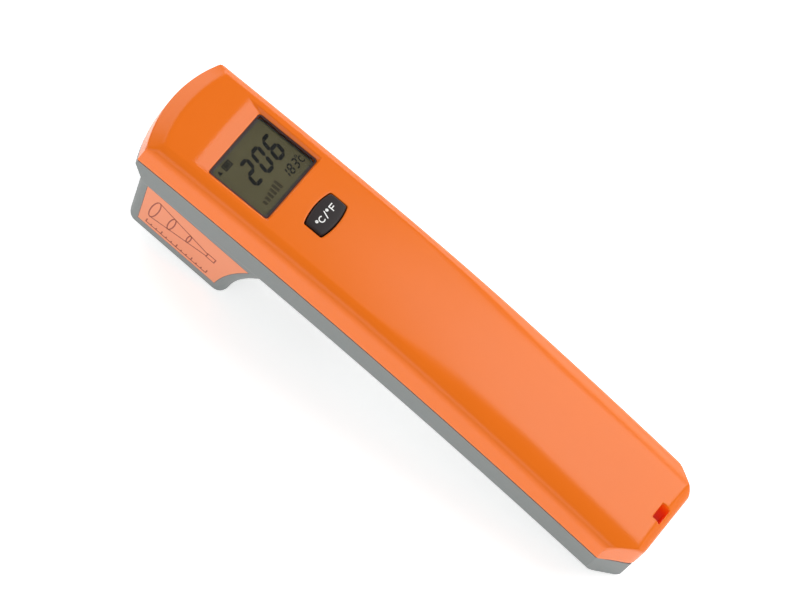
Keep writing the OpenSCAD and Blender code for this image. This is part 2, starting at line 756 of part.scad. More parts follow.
// Board and what it carries
module main_board() {
    color("#1f6b3a") at_rest() on_deck() difference() {
        translate([0, 0, board_bottom]) linear_extrude(board_t) polygon([
            [board_front, board_w / 2], [tail_front, board_w / 2], [tail_front, tail_w / 2],
            [board_rear, tail_w / 2], [board_rear, -tail_w / 2], [tail_front, -tail_w / 2],
            [tail_front, -board_w / 2], [board_front, -board_w / 2]]);
        for (spot = board_screw_spots)
            translate([spot[0], spot[1], board_bottom - 1]) cylinder(r = screw_r + 0.15, h = board_t + 2);
    }
}
module controller_chip() {
    color("#222426") at_rest() on_deck()
        translate([tail_front + 4, 0, board_top + chip_t / 2 + seat_gap])
            cube([chip_l, chip_l, chip_t], center = true);
}
module board_capacitors() {
    color("#27374d") at_rest() on_deck() for (i = [0:2])
        translate([board_rear + capacitor_step * (i + 1.5), 0, board_top + seat_gap])
            cylinder(r = capacitor_r, h = capacitor_h);
}
module board_screws() {
    color("silver") at_rest() on_deck() for (spot = board_screw_spots)
        translate([spot[0], spot[1], board_bottom - screw_head_h - seat_gap]) {
            cylinder(r = screw_head_r, h = screw_head_h);
            cylinder(r = screw_r, h = screw_head_h + board_t + 3.5);
        }
}

// Unit button
module unit_button() {
    flange_top = button_surface - wall - flange_drop;
    stem_end = board_top + switch_h + plunger_out + seat_gap;
    color("#3a3638") at_rest() on_deck() translate([button_dx, 0, 0]) {
        translate([0, 0, flange_top - flange_t])
            linear_extrude(button_surface + button_proud - flange_top + flange_t) button_outline(0);
        plate(button_l + 2 * button_rim, button_w + 2 * button_rim, flange_t, flange_top - flange_t);
        translate([0, 0, stem_end]) cylinder(r = button_stem_r, h = flange_top - stem_end);
    }
}
module unit_switch() {
    color("#202224") at_rest() on_deck() translate([button_dx, 0, board_top + 0.02]) difference() {
        translate([0, 0, switch_h / 2]) cube([switch_size, switch_size, switch_h - 0.04], center = true);
        translate([0, 0, switch_h - 2.2]) cylinder(r = plunger_r + slide_gap, h = 4);
    }
}
module unit_plunger() {
    color("#8a8d90") at_rest() on_deck() translate([button_dx, 0, board_top + switch_h - 1.2])
        cylinder(r = plunger_r, h = 1.2 + plunger_out);
}

// Trigger
module trigger_profile() {
    under = body_z((pivot_x + trigger_tip_x) / 2, -lower_h);
    inside = body_z(trigger_tip_x, -lower_h + wall);
    polygon([[pivot_x, pivot_z + hub_r], [pivot_x + 5, inside + 2], [trigger_tip_x, inside + 1.4],
             [trigger_tip_x, under - 3.4], [pivot_x + 4, under - 1.7], [pivot_x - hub_r, under + 0.3],
             [pivot_x - hub_r, pivot_z]]);
}
module trigger() {
    under = body_z((pivot_x + trigger_tip_x) / 2, -lower_h);
    inside = body_z(trigger_tip_x, -lower_h + wall);
    groove_r = 18;
    post_h = 3.6;
    plunger_tip = board_bottom - trigger_switch_h - trigger_plunger_out;
    color("#4a4d50") at_rest() difference() {
        union() {
            across(trigger_w) trigger_profile();
            translate([pivot_x, 0, pivot_z]) bar_y(hub_r, trigger_w);
            block([trigger_tip_x - 3, -trigger_w / 2 + 1, inside + 0.15],
                  [trigger_tip_x + 1.8, trigger_w / 2 - 1, inside + 1.4]);
            on_deck() translate([trigger_switch_dx, 0, plunger_tip - seat_gap - post_h])
                cylinder(r = 1.5, h = post_h);
        }
        translate([pivot_x + 11.5, 0, under - 0.9 - groove_r]) bar_y(groove_r, big);
        translate([pivot_x, 0, pivot_z]) bar_y(pin_r + slide_gap, big);
    }
}
module trigger_pin() {
    color("silver") at_rest() translate([pivot_x, 0, pivot_z])
        bar_y(pin_r, 2 * (trigger_w / 2 + move_gap + lug_t));
}
module trigger_switch() {
    color("#202224") at_rest() on_deck() translate([trigger_switch_dx, 0, board_bottom - 0.02])
    difference() {
        translate([0, 0, -trigger_switch_h / 2]) cube([6.5, 6.5, trigger_switch_h - 0.04], center = true);
        translate([0, 0, -trigger_switch_h - 1]) cylinder(r = trigger_plunger_r + slide_gap, h = 4);
    }
}
module trigger_plunger() {
    tip = board_bottom - trigger_switch_h - trigger_plunger_out;
    color("#b04a2a") at_rest() on_deck() translate([trigger_switch_dx, 0, tip])
        cylinder(r = trigger_plunger_r, h = trigger_plunger_out + 1.3);
}

// Battery and door
module battery_door() {
    lip = 0.9;
    color("#848f91") at_rest() {
        intersection() {
            arched() translate([0, wall / 2 - lower_h]) square([2 * door_half, wall], center = true);
            block([door_rear_x, -big, -big], [hinge_x, big, big]);
        }
        translate([hinge_x, 0, hinge_z]) {
            bar_y(hinge_r, 2 * door_half);
            bar_y(trunnion_r, 2 * (door_half + move_gap + lug_t) - 1);
        }
        block([door_rear_x + 0.2, -4, body_z(door_rear_x, -lower_h + wall / 2)],
              [door_rear_x + 0.2 + lip, 4, body_z(door_rear_x, -4)]);
    }
}
module battery() {
    face = battery_l / 2 - terminal_l;
    color("#3d4a52") at_rest() on_battery() {
        translate([-terminal_l / 2, 0, 0])
            along(battery_l - terminal_l) polygon(rounded_outline(battery_w, battery_h, 2));
        translate([0, terminal_gap / 2, 0]) bar_x(post_r, face, face + terminal_l);
        translate([0, -terminal_gap / 2, 0]) bar_x(socket_r, face, face + terminal_l);
    }
}
module battery_snap() {
    face = battery_l / 2 - terminal_l + 0.1;
    color("#1c1d1e") at_rest() on_battery() difference() {
        translate([face + snap_t / 2, 0, 0]) along(snap_t) polygon(rounded_outline(snap_w, snap_h, 2));
        translate([0, terminal_gap / 2, 0]) bar_x(post_r + 0.1, face - 1, face + terminal_l);
        translate([0, -terminal_gap / 2, 0]) bar_x(socket_r + 0.1, face - 1, face + terminal_l);
    }
}
module battery_leads() {
    from_x = battery_front - terminal_l + snap_t + 0.4;
    to_x = battery_front + 16.5;
    to_z = window_z + (window_x - to_x) * sin(deck_tilt) + board_bottom * cos(deck_tilt) - lead_r * 1.4;
    color("#a02828") at_rest() for (y = [-3, 3]) translate([0, y, 0])
        wire([from_x, 0, battery_z + 1.5], [to_x, 0, to_z], lead_r);
}

// Fasteners
module shell_screws() {
    color("silver") at_rest() for (spot = shell_screw_spots)
        translate([spot[0], spot[1], body_z(spot[0], -lower_h) + head_depth - seat_gap]) {
            translate([0, 0, -shell_head_h]) cylinder(r = shell_head_r, h = shell_head_h);
            cylinder(r = shell_screw_r, h = shell_screw_l);
        }
}
module nose_screws() {
    color("silver") at_rest() for (spot = nose_screw_spots)
        translate([spot[0], spot[1], body_z(spot[0], -lower_h + wall) + 0.15]) {
            cylinder(r = screw_head_r, h = screw_head_h);
            translate([0, 0, -5.4]) cylinder(r = screw_r, h = 5.5);
        }
}

upper_shell();
lower_shell();
nose_housing();
nose_bezel();
label_left();
label_right();
display_window();
window_gasket();
lcd_panel();
lcd_frame();
lcd_connectors();
main_board();
controller_chip();
board_capacitors();
board_screws();
unit_button();
unit_switch();
unit_plunger();
trigger();
trigger_pin();
trigger_switch();
trigger_plunger();
battery_door();
battery();
battery_snap();
battery_leads();
sensor_barrel();
ir_lens();
lens_ring();
thermopile();
sensor_board();
sensor_cable();
cable_socket();
laser_module();
laser_window();
laser_leads();
shell_screws();
nose_screws();
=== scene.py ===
"""Looks of a stick infrared thermometer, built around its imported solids.

Shapes are worked out in millimetres, in the body's own frame (x forward, y left, z up from the
parting line) or in the display deck's frame, and then placed in the row frame in metres.
"""

import json
import math

import bmesh
import bpy
import numpy as np
from bpy.props import FloatProperty, FloatVectorProperty, PointerProperty
from mathutils import Euler, Matrix, Vector


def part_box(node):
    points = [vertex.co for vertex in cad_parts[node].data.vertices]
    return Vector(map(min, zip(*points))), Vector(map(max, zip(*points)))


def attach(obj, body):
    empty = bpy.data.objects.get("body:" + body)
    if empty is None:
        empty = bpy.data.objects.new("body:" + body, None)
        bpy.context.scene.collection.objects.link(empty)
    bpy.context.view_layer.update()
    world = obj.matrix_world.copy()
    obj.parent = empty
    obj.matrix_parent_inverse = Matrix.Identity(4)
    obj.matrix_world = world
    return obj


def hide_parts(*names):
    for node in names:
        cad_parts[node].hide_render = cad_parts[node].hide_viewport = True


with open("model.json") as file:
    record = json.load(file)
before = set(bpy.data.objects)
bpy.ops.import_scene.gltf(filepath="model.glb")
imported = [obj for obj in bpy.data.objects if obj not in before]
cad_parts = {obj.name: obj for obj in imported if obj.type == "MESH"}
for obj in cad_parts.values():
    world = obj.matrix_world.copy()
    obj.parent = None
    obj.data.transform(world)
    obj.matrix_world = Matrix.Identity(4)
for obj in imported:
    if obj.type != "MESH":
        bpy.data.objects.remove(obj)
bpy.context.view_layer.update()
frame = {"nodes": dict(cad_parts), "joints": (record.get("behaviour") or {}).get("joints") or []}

bl_info = {
    "name": "Infrared thermometer looks",
    "version": (1, 0, 0),
    "blender": (4, 5, 0),
    "location": "3D View > Sidebar > Thermometer",
    "description": "Dresses the packed thermometer: casings, display, button, nose, fasteners and stage",
    "category": "Object",
}

MM = 0.001
SIDES = (-1, 1)


def srgb(code):
    """Linear colour with full alpha from a six-digit display colour."""
    parts = [((code >> shift) & 255) / 255 for shift in (16, 8, 0)]
    linear = [p / 12.92 if p <= 0.04045 else ((p + 0.055) / 1.055) ** 2.4 for p in parts]
    return (*linear, 1.0)


def size(name, description, length):
    return FloatProperty(name=name, description=description, default=length * MM, min=0.0, unit="LENGTH",
                         precision=5)


def angle(name, description, degrees):
    return FloatProperty(name=name, description=description, default=math.radians(degrees),
                         subtype="ANGLE")


def tint(name, description, code):
    return FloatVectorProperty(name=name, description=description, default=srgb(code), size=4,
                               min=0.0, max=1.0, subtype="COLOR")


def power(name, description, watts):
    return FloatProperty(name=name, description=description, default=watts, min=0.0, unit="POWER")


class CasingSizes(bpy.types.PropertyGroup):
    """Sizes of the upper casing."""

    length: size("Length", "Length of the casing", 190)
    width: size("Width", "Width of the casing", 38)
    upper_height: size("Upper height", "Height above the parting line, half way along", 13.8)
    head_fall: angle("Head fall", "Fall of the top towards the front", 0.9)
    handle_fall: angle("Handle fall", "Fall of the top towards the rear", 1.4)
    handle_lift: size("Handle lift", "Height of the handle's top over the head's, half way along", 1.1)
    arch_rise: size("Arch rise", "Rise of the middle over the ends", 3.1)
    wall: size("Wall", "Wall thickness", 2)
    shoulder_radius: size("Shoulder radius", "Radius of the inside's long top edges, plus the wall", 6.5)
    fall_start: size("Fall start", "Distance from the middle where the handle's top starts to fall", 12.2)
    side_fall: angle("Side fall", "Fall of the handle's top towards its sides", 22.5)
    wall_turn: size("Wall turn", "Radius that turns the falling sides into the walls", 4)
    head_edge: size("Head edge", "Radius of the head's long top edges", 4)
    crown_radius: size("Crown radius", "Radius of the crowned top, seen along the body", 300)
    front_radius: size("Front radius", "Radius of the front end, seen from above", 45)
    corner_length: size("Corner length", "Length of the cut rear corners", 9.5)
    corner_width: size("Corner width", "Width of the cut rear corners", 6.6)
    plan_round: size("Plan rounding", "Rounding of the top's corners, inside its outline", 1.3)
    slot_length: size("Slot length", "Lanyard slot, along the body", 3.1)
    slot_width: size("Slot width", "Lanyard slot, across the body", 5.8)
    slot_from_rear: size("Slot from rear", "Distance from the rear end to the slot's middle", 3.6)


class DisplaySizes(bpy.types.PropertyGroup):
    """Sizes of the display window and of what it shows."""

    from_front: size("From front", "Distance from the front end to the window's middle", 33)
    length: size("Length", "Length of the window along the body", 20.8)
    width: size("Width", "Width of the window across the body", 25)
    depth: size("Depth", "Depth of the window below the crown", 1.4)
    tilt: angle("Tilt", "Extra tilt of the display towards the rear", 0.6)
    rim: size("Rim", "Gasket and play round the window, on each side", 0.55)
    pane: size("Pane", "Thickness of the window's pane", 1.05)
    digit_height: size("Digit height", "Height of the large digits", 8.5)
    digit_width: size("Digit width", "Width of the large digits", 4.4)
    digit_pitch: size("Digit pitch", "Distance from digit to digit", 5.6)


class ButtonSizes(bpy.types.PropertyGroup):
    """Sizes of the unit button."""

    from_front: size("From front", "Distance from the front end to the button's middle", 56.1)
    length: size("Length", "Size along the body, in the middle", 7.9)
    width: size("Width", "Size across the body", 13)
    bulge: size("Bulge", "How much longer the middle is than the ends, on each side", 0.95)
    proud: size("Proud", "Height over the casing", 0.7)
    gap: size("Gap", "Play round the button", 0.35)
    legend_height: size("Legend height", "Height of the unit marks", 2.1)


class Finishes(bpy.types.PropertyGroup):
    """Colours of the finishes."""

    orange: tint("Orange", "Upper casing", 0xF0720A)
    # Painted glow: emission colour of the slot's walls, standing in for light through the plastic
    glow: tint("Glow", "Light that comes through the upper casing", 0xE63218)
    grey: tint("Grey", "Lower casing, nose and battery door", 0x7E8382)
    charcoal: tint("Charcoal", "Unit button", 0x251D1E)
    black: tint("Black", "Small dark mouldings", 0x1E2022)
    label: tint("Label", "Printed film on the nose", 0xEA8B60)
    ink: tint("Ink", "Print on the film", 0x9C4630)
    seal: tint("Seal", "Window gasket", 0x3A0F0A)
    cell: tint("Cell", "Liquid crystal cell", 0x46422D)
    segment: tint("Segment", "Dark parts of the reading", 0x0A0C0E)
    ghost: tint("Ghost", "Faint parts of the reading", 0x2F2B1E)
    legend: tint("Legend", "Unit marks on the button", 0xF4F4F2)
    steel: tint("Steel", "Screws and pin", 0xC4C6C8)


class StageSizes(bpy.types.PropertyGroup):
    """Floor, lights and camera."""

    floor: FloatProperty(name="Floor", description="Side of the floor", default=8.0, unit="LENGTH")
    surround: FloatProperty(name="Surround", description="Brightness of the studio's walls", default=0.42)
    softbox: power("Softbox", "Power of the large lamp over the rear", 5.6)
    side: power("Side", "Power of the lamp at the left", 4.0)
    fill: power("Fill", "Power of the lamp before the front", 4.6)
    card: power("Card", "Power of the bright card at the right, seen in the gloss only", 5.0)
    lens: FloatProperty(name="Lens", description="Focal length in millimetres", default=339.97)


def millimetres(group, *names):
    return [getattr(group, name) / MM for name in names]


# Surfaces of the upper casing


def soft_min(a, b, reach):
    """The lower of two heights, with the crease between them rounded over reach."""
    near = np.maximum(reach - np.abs(a - b), 0) / reach
    return np.minimum(a, b) - near * near * reach / 4


def soft_max(a, b, reach):
    return -soft_min(-a, -b, reach)


def edge_drop(inside, radius):
    """How far a rounded edge lies under the flat, at a distance inside the outline."""
    left = np.clip(radius - inside, 0, radius)
    return radius - np.sqrt(radius * radius - left * left)


def stations(stops, widest):
    """Places along a line. Steps start at each stop's own fineness and grow away from it."""
    growth = 1.55
    places = [stops[0][0]]
    for (low, fine_low), (high, fine_high) in zip(stops, stops[1:]):
        up, down = [low], [high]
        while down[-1] - up[-1] > fine_low + fine_high:
            if fine_low <= fine_high:
                up.append(up[-1] + fine_low)
                fine_low = min(fine_low * growth, widest)
            else:
                down.append(down[-1] - fine_high)
                fine_high = min(fine_high * growth, widest)
        places += up[1:] + down[::-1]
    return np.array(places)


def circle(count):
    """Points of a circle with a radius of 1."""
    turns = np.linspace(0, 2 * math.pi, count, endpoint=False)
    return np.column_stack([np.cos(turns), np.sin(turns)])


def square(count):
    """Points of a square that reaches 1 to each side."""
    points = circle(count)
    return points / np.abs(points).max(axis=1)[:, None]


def arc(middle, radii, start, end, step):
    """Points of an arc round a middle, from angle to angle in degrees."""
    turns = np.radians(np.arange(start, end + step / 2, step))
    return np.column_stack([middle[0] + radii[0] * np.cos(turns), middle[1] + radii[1] * np.sin(turns)])


def round_corner(u, y, corner, inward, radius, reach):
    """Moves points near a square corner so that the corner becomes round."""
    p = radius - inward[0] * (u - corner[0])
    q = radius - inward[1] * (y - corner[1])
    near = (p > 0) & (q > 0)
    far = np.maximum(p, q)
    span = np.where(near, np.hypot(p, q), 1)
    fade = np.clip((reach - far) / max(reach - radius, 1e-6), 0, 1)
    pull = np.where(near, 1 + (far / span - 1) * fade, 1)
    return corner[0] + inward[0] * (radius - p * pull), corner[1] + inward[1] * (radius - q * pull)


def round_block(u, y, low, high, across, radius, fade=1.01):
    """Rounds the corners of a block from low to high; the change reaches as far as fade radii."""
    for end, place in zip(SIDES, (low, high)):
        for side in SIDES:
            u, y = round_corner(u, y, (place, side * across), (-end, -side), radius, fade * radius)
    return u, y


class CasingShape:
    """Heights and outlines of the upper casing, in millimetres in the body's frame."""

    # Run and fall of the bevels at both ends
    front_bevel, rear_bevel = (4.0, 3.0), (3.0, 2.4)
    # Run over rise of the display recess's walls
    front_slope, side_slope, rear_slope = 3.2, 0.9, 0.5
    # The recess's front wall is laid flatter by the crown's fall as a share of a depth, up to a limit
    flat_depth, flat_most = 1.5, 0.3
    # Corner radius and edge radius of the slot, the button's hole and the window's hole
    opening_rounds = ((0.5, 0.3), (0.5, 0.2), (0.9, 0.08))
    # Reach of round corners into the grid, in radii
    outline_fade, opening_fade = 1.0, 1.8
    # Reach of the blends between faces
    head_blend, fall_blend, bevel_blend = 0.8, 0.9, 0.4
    recess_blend, recess_corner, cut_blend = 0.3, 0.25, 1.2
    # Edge radius along the outline, and what the rear end has on top of it
    edge, rear_edge = 0.35, 0.8
    # Rise of the inside's arch over the outside's
    roof_rise = 1.4
    # Lengths over which the grid's rows change from a shaped outline to straight lines
    rear_zone, front_zone, button_zone = 14.0, 16.0, 3.0

    def __init__(self, casing, display, button):
        length, width, self.wall = millimetres(casing, "length", "width", "wall")
        self.front, self.half = length / 2, width / 2
        self.upper, self.lift, rise = millimetres(casing, "upper_height", "handle_lift", "arch_rise")
        self.head_fall, self.handle_fall = casing.head_fall, casing.handle_fall
        self.side_fall = math.tan(casing.side_fall)
        self.fall_start, self.wall_turn = millimetres(casing, "fall_start", "wall_turn")
        self.shoulder, self.head_edge = millimetres(casing, "shoulder_radius", "head_edge")
        self.crown, self.nose_r = millimetres(casing, "crown_radius", "front_radius")
        self.corner_l, self.corner_w = millimetres(casing, "corner_length", "corner_width")
        self.plan_round, slot_from_rear = millimetres(casing, "plan_round", "slot_from_rear")
        self.arch = self.arch_radius(rise)
        self.roof_arch = self.arch_radius(rise + self.roof_rise)
        # Display deck
        from_front, depth, rim_width = millimetres(display, "from_front", "depth", "rim")
        window_l, window_w = millimetres(display, "length", "width")
        self.recess_l, self.recess_w = window_l + 2 * rim_width, window_w + 2 * rim_width
        self.window_x = self.front - from_front
        self.window_z = float(self.head_top(self.window_x)) - depth
        self.deck_tilt = math.asin(self.window_x / self.arch) + self.head_fall + display.tilt
        self.deck_cos, self.deck_sin = math.cos(self.deck_tilt), math.sin(self.deck_tilt)
        # Unit button
        from_front, self.button_l, self.button_w = millimetres(button, "from_front", "length", "width")
        self.bulge, self.proud, self.gap = millimetres(button, "bulge", "proud", "gap")
        self.button_dx = self.front - from_front - self.window_x
        self.button_r = ((self.button_w / 2) ** 2 + self.bulge ** 2) / (2 * self.bulge)
        self.button_top = self.deck_height(self.button_dx)
        self.button_x = self.from_deck(self.button_dx, self.button_top)[0]
        # Openings: rear edge, front edge, and reach to both sides
        slot_l, slot_w = millimetres(casing, "slot_length", "slot_width")
        self.slot_x = -self.front + slot_from_rear
        slot = (self.slot_x - slot_l / 2, self.slot_x + slot_l / 2, slot_w / 2)
        widest = float(self.button_half(0.0))
        button_hole = (self.button_x - widest, self.button_x + widest, self.button_w / 2 + self.gap)
        window_ends = [self.from_deck(side * self.recess_l / 2, 0)[0] for side in SIDES]
        self.openings = (slot, button_hole, (*window_ends, self.recess_w / 2))

    def arch_radius(self, rise):
        return (self.front ** 2 + rise ** 2) / (2 * rise)

    def over_parting(self, x, height=0.0):
        """Place of a point at a height over the arched parting line."""
        return np.sqrt((self.arch + height) ** 2 - np.square(x)) - self.arch

    def sloped(self, x, height, fall):
        shifted = np.square(x + self.arch * math.sin(fall))
        return np.sqrt((self.arch + height) ** 2 - shifted) - self.arch * math.cos(fall)

    def head_top(self, x):
        return self.sloped(x, self.upper, self.head_fall)

    def handle_top(self, x):
        return self.sloped(x, self.upper + self.lift, -self.handle_fall)

    def crowned(self, top, y):
        return top - np.square(y) / (2 * self.crown)

    def deck_height(self, dx):
        """Height of the casing's top over the deck's plane, on the centre line."""
        x = self.window_x + dx
        top = min(self.head_top(x), self.handle_top(x))
        return dx * self.deck_sin + (top - self.window_z) * self.deck_cos

    def from_deck(self, dx, dz):
        """Place in the body's frame of a point in the deck's."""
        return (self.window_x + dx * self.deck_cos + dz * self.deck_sin,
                self.window_z - dx * self.deck_sin + dz * self.deck_cos)

    def handle_surface(self, x, y):
        """The handle's top: crowned, falling to both sides, and turned into the walls with a radius."""
        across, top = np.abs(y), self.handle_top(x)
        plane = top - self.side_fall * (across - self.fall_start)
        sloped = soft_min(self.crowned(top, y), plane, self.fall_blend)
        lean = math.atan(self.side_fall)
        turn_start = self.half - self.wall_turn * (1 - math.sin(lean))
        centre = top - self.side_fall * (turn_start - self.fall_start) - self.wall_turn * math.cos(lean)
        over = np.clip(across - self.half + self.wall_turn, 0, self.wall_turn)
        turned = centre + np.sqrt(self.wall_turn ** 2 - np.square(over))
        return np.where(across > turn_start, turned, sloped)

    def recess(self, x, y):
        """Walls of the display recess, over the whole plan."""
        c, s = self.deck_cos, self.deck_sin

        def end_wall(rise, start):
            dx = (x - self.window_x + rise * start * s) / (c + rise * s)
            return self.window_z - dx * s + rise * (dx - start) * c

        # Flatter towards the sides, where the crown is lower, so that its upper edge stays straight
        flatter = 1 - np.minimum(np.square(y) / (2 * self.crown * self.flat_depth), self.flat_most)
        deck = self.window_z - (x - self.window_x) * s / c
        side = deck + (np.abs(y) - self.recess_w / 2) / self.side_slope / c
        ends = np.maximum(end_wall(flatter / self.front_slope, self.recess_l / 2),
                          end_wall(-1 / self.rear_slope, -self.recess_l / 2))
        return np.maximum(soft_max(side, ends, self.recess_corner), deck)

    def top(self, x, y):
        """Height of the outside over the plan, without the last edge rounding."""
        head = self.crowned(self.head_top(x), y) - edge_drop(self.half - np.abs(y), self.head_edge)
        z = soft_min(head, self.handle_surface(x, y), self.head_blend)
        run, fall = self.front_bevel
        inside = self.nose_r - np.hypot(np.maximum(x - (self.front - self.nose_r), 0), y)
        z = soft_min(z, self.head_top(self.front) - fall + inside * fall / run, self.bevel_blend)
        run, fall = self.rear_bevel
        rear = self.handle_top(-self.front)
        z = soft_min(z, rear - fall + (x + self.front) * fall / run, self.bevel_blend)
        return soft_min(z, self.recess(x, y), self.recess_blend)

    def roof(self, x, y):
        """Height of the casing's inside: crowned, with long edges that curve down."""
        height, radius = self.upper - self.wall, self.shoulder - self.wall
        top = np.sqrt((self.roof_arch + height) ** 2 - np.square(x)) - self.roof_arch
        flat = self.half - self.wall - radius
        centre = top - self.crown + math.sqrt((self.crown - radius) ** 2 - flat ** 2)
        curve = centre + np.sqrt(np.maximum(radius ** 2 - np.square(np.abs(y) - flat), 0))
        curve_start = flat * self.crown / (self.crown - radius)
        return np.where(np.abs(y) > curve_start, curve, self.crowned(top, y))

    def button_half(self, y):
        """Half length of the button's hole at a distance across."""
        reach = np.minimum(np.abs(y), self.button_w / 2 + self.gap)
        bow = np.sqrt((self.button_r + self.gap) ** 2 - np.square(reach))
        return bow - self.button_r + self.button_l / 2

    def plan_x(self, u, y):
        """Place of a grid point along the body: rows follow the front arc, cut corners and button."""
        over = soft_max(np.abs(y) - (self.half - self.corner_w), np.zeros_like(y), self.cut_blend)
        cut = over * self.corner_l / self.corner_w
        x = u + cut * np.clip(1 - (u + self.front) / self.rear_zone, 0, 1)
        bow = self.nose_r - np.sqrt(self.nose_r ** 2 - np.square(y))
        x = x - bow * np.clip(1 - (self.front - u) / self.front_zone, 0, 1)
        widest, half = self.button_half(0.0), self.button_half(y)
        off = u - self.button_x
        away = np.clip((np.abs(off) - widest) / self.button_zone, 0, 1)
        beside = np.sign(off) * (widest - half) * (1 - away)
        return x - np.where(np.abs(off) <= widest, off * (1 - half / widest), beside)


# Mesh making


class Skin:
    """Points and faces of one piece as they are laid down."""

    def __init__(self):
        self.points, self.faces = [], []

    def add(self, points):
        """Takes an array of points, of any shape, and gives their indexes in that shape."""
        points = np.asarray(points, float)
        start = len(self.points)
        self.points += [tuple(p) for p in points.reshape(-1, 3)]
        return np.arange(start, len(self.points)).reshape(points.shape[:-1])

    def at(self, indexes):
        return np.array([self.points[i] for i in indexes])

    def quads(self, grid, keep):
        """Faces between a grid's points, where keep says so."""
        corners = np.stack([grid[:-1, :-1], grid[:-1, 1:], grid[1:, 1:], grid[1:, :-1]], axis=-1)
        self.faces += list(corners[keep])

    def bridge(self, first, second):
        """A band of faces between two closed rings."""
        self.faces += zip(first, np.roll(first, -1), np.roll(second, -1), second)

    def walls(self, ring, loops, last):
        """Bands from a laid ring through loops of new points to another laid ring."""
        for loop in loops:
            lower = self.add(loop)
            self.bridge(ring, lower)
            ring = lower
        self.bridge(ring, last)

    def fan(self, ring):
        middle = self.add(self.at(ring).mean(axis=0)[None])[0]
        self.faces += [(first, second, middle) for first, second in zip(ring, np.roll(ring, -1))]

    def tube(self, rings, capped=False):
        """Bands through a list of rings of points, with both ends closed if capped; gives the indexes."""
        indexes = [self.add(ring) for ring in rings]
        for first, second in zip(indexes, indexes[1:]):
            self.bridge(first, second)
        if capped:
            self.fan(indexes[0])
            self.fan(indexes[-1])
        return indexes

    def prism(self, outline, low, high):
        """A closed slab over a convex outline of (x, y)."""
        flat = np.asarray(outline, float)
        bottom, top = self.tube([level(flat, z) for z in (low, high)])
        self.faces += [tuple(bottom[::-1]), tuple(top)]

    def ribbon(self, path, width, height, closed=False, thick=0.02):
        """A flat raised line along a path of (x, y); height gives the face that it lies on."""
        path = np.asarray(path, float)
        ahead = np.roll(path, -1, axis=0) - path
        back = path - np.roll(path, 1, axis=0)
        if not closed:
            ahead[-1], back[0] = back[-1], ahead[0]
        ahead /= np.linalg.norm(ahead, axis=1)[:, None]
        back /= np.linalg.norm(back, axis=1)[:, None]
        normal = np.column_stack([-(ahead + back)[:, 1], (ahead + back)[:, 0]])
        normal /= np.linalg.norm(normal, axis=1)[:, None]
        # The corner of a sharp turn reaches out to twice the half width at most
        lean = np.maximum((normal * np.column_stack([-ahead[:, 1], ahead[:, 0]])).sum(axis=1), 0.5)
        reach = normal * (width / 2 / lean)[:, None]
        rings = []
        for side, lift in ((1, thick), (-1, thick), (-1, -thick), (1, -thick)):
            flat = path + side * reach
            rings.append(level(flat, height(flat[:, 0], flat[:, 1]) + lift))
        grid = self.add(np.array(rings).transpose(1, 0, 2))
        rows = list(grid) + ([grid[0]] if closed else [])
        for first, second in zip(rows, rows[1:]):
            self.bridge(first, second)
        if not closed:
            self.faces += [tuple(grid[0]), tuple(grid[-1][::-1])]

    def mesh(self, name):
        mesh = bpy.data.meshes.new(name)
        mesh.from_pydata(self.points, [], [tuple(int(i) for i in face) for face in self.faces])
        return mesh

    def piece(self, name, place, finish, body, slot, replaces=(), smooth_angle=35):
        """Makes the object with its faces turned outward, hangs it on its body, and hides the imported
        nodes that it replaces.
        """
        mesh = self.mesh(name)
        mesh.transform(place)
        work = bmesh.new()
        work.from_mesh(mesh)
        loose = [vertex for vertex in work.verts if not vertex.link_faces]
        bmesh.ops.delete(work, geom=loose, context="VERTS")
        bmesh.ops.recalc_face_normals(work, faces=work.faces)
        work.to_mesh(mesh)
        work.free()
        mesh.shade_smooth()
        mesh.set_sharp_from_angle(angle=math.radians(smooth_angle))
        mesh.materials.append(finish)
        made = new_object(name, mesh)
        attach(made, body)
        if replaces:
            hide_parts(*replaces)
        return made


def new_object(name, data):
    made = bpy.data.objects.new(name, data)
    bpy.context.scene.collection.objects.link(made)
    return made


def level(flat, z):
    """Points of (x, y) set at a height, or each at its own."""
    return np.column_stack([flat, np.broadcast_to(z, len(flat))])


def rim(grid, rows, columns):
    """Indexes of the points round a block of a grid, in order."""
    (r0, r1), (c0, c1) = rows, columns
    return np.concatenate([grid[r0, c0:c1], grid[r0:r1, c1], grid[r1, c1:c0:-1], grid[r1:r0:-1, c0]])


def nearest(places, value):
    return int(np.argmin(np.abs(places - value)))


def deck_place():
    """Placing of the deck's frame: its plane is the window's outer face as packed."""
    low, high = (Vector(corner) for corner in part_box("display_window"))
    press = next(joint for joint in frame["joints"] if joint["name"] == "button_press")
    normal = -Vector(press["axis"])
    tilt = math.atan2(normal.x, normal.z)
    pane = bpy.context.scene.thermometer_display.pane
    origin = (low + high) / 2 + normal * pane / 2
    return Matrix.Translation(origin) @ Matrix.Rotation(tilt, 4, "Y") @ Matrix.Scale(MM, 4)


def body_place(shape):
    """Placing of the body's frame, taken from the deck's."""
    window = Matrix.Translation((shape.window_x, 0, shape.window_z))
    return deck_place() @ (window @ Matrix.Rotation(shape.deck_tilt, 4, "Y")).inverted()


def node_points(node, place):
    """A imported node's points in a local frame, in millimetres."""
    into = place.inverted()
    return np.array([into @ vertex.co for vertex in frame["nodes"][node].data.vertices])


def four_screws(node, place):
    """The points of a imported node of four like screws, one screw after the other."""
    points = node_points(node, place)
    middle = points.mean(axis=0)
    for along in SIDES:
        for side in SIDES:
            yield points[(along * (points[:, 0] - middle[0]) > 0) & (side * points[:, 1] > 0)]


def screw_spots(node, place):
    """The middle of each of four like screws, seen along it."""
    return [(points.min(axis=0) + points.max(axis=0))[:2] / 2 for points in four_screws(node, place)]


def casing_shape(context):
    scene = context.scene
    return CasingShape(scene.thermometer_casing, scene.thermometer_display, scene.thermometer_button)


# Finishes


FLOAT, COLOUR, VECTOR = "NodeSocketFloat", "NodeSocketColor", "NodeSocketVector"


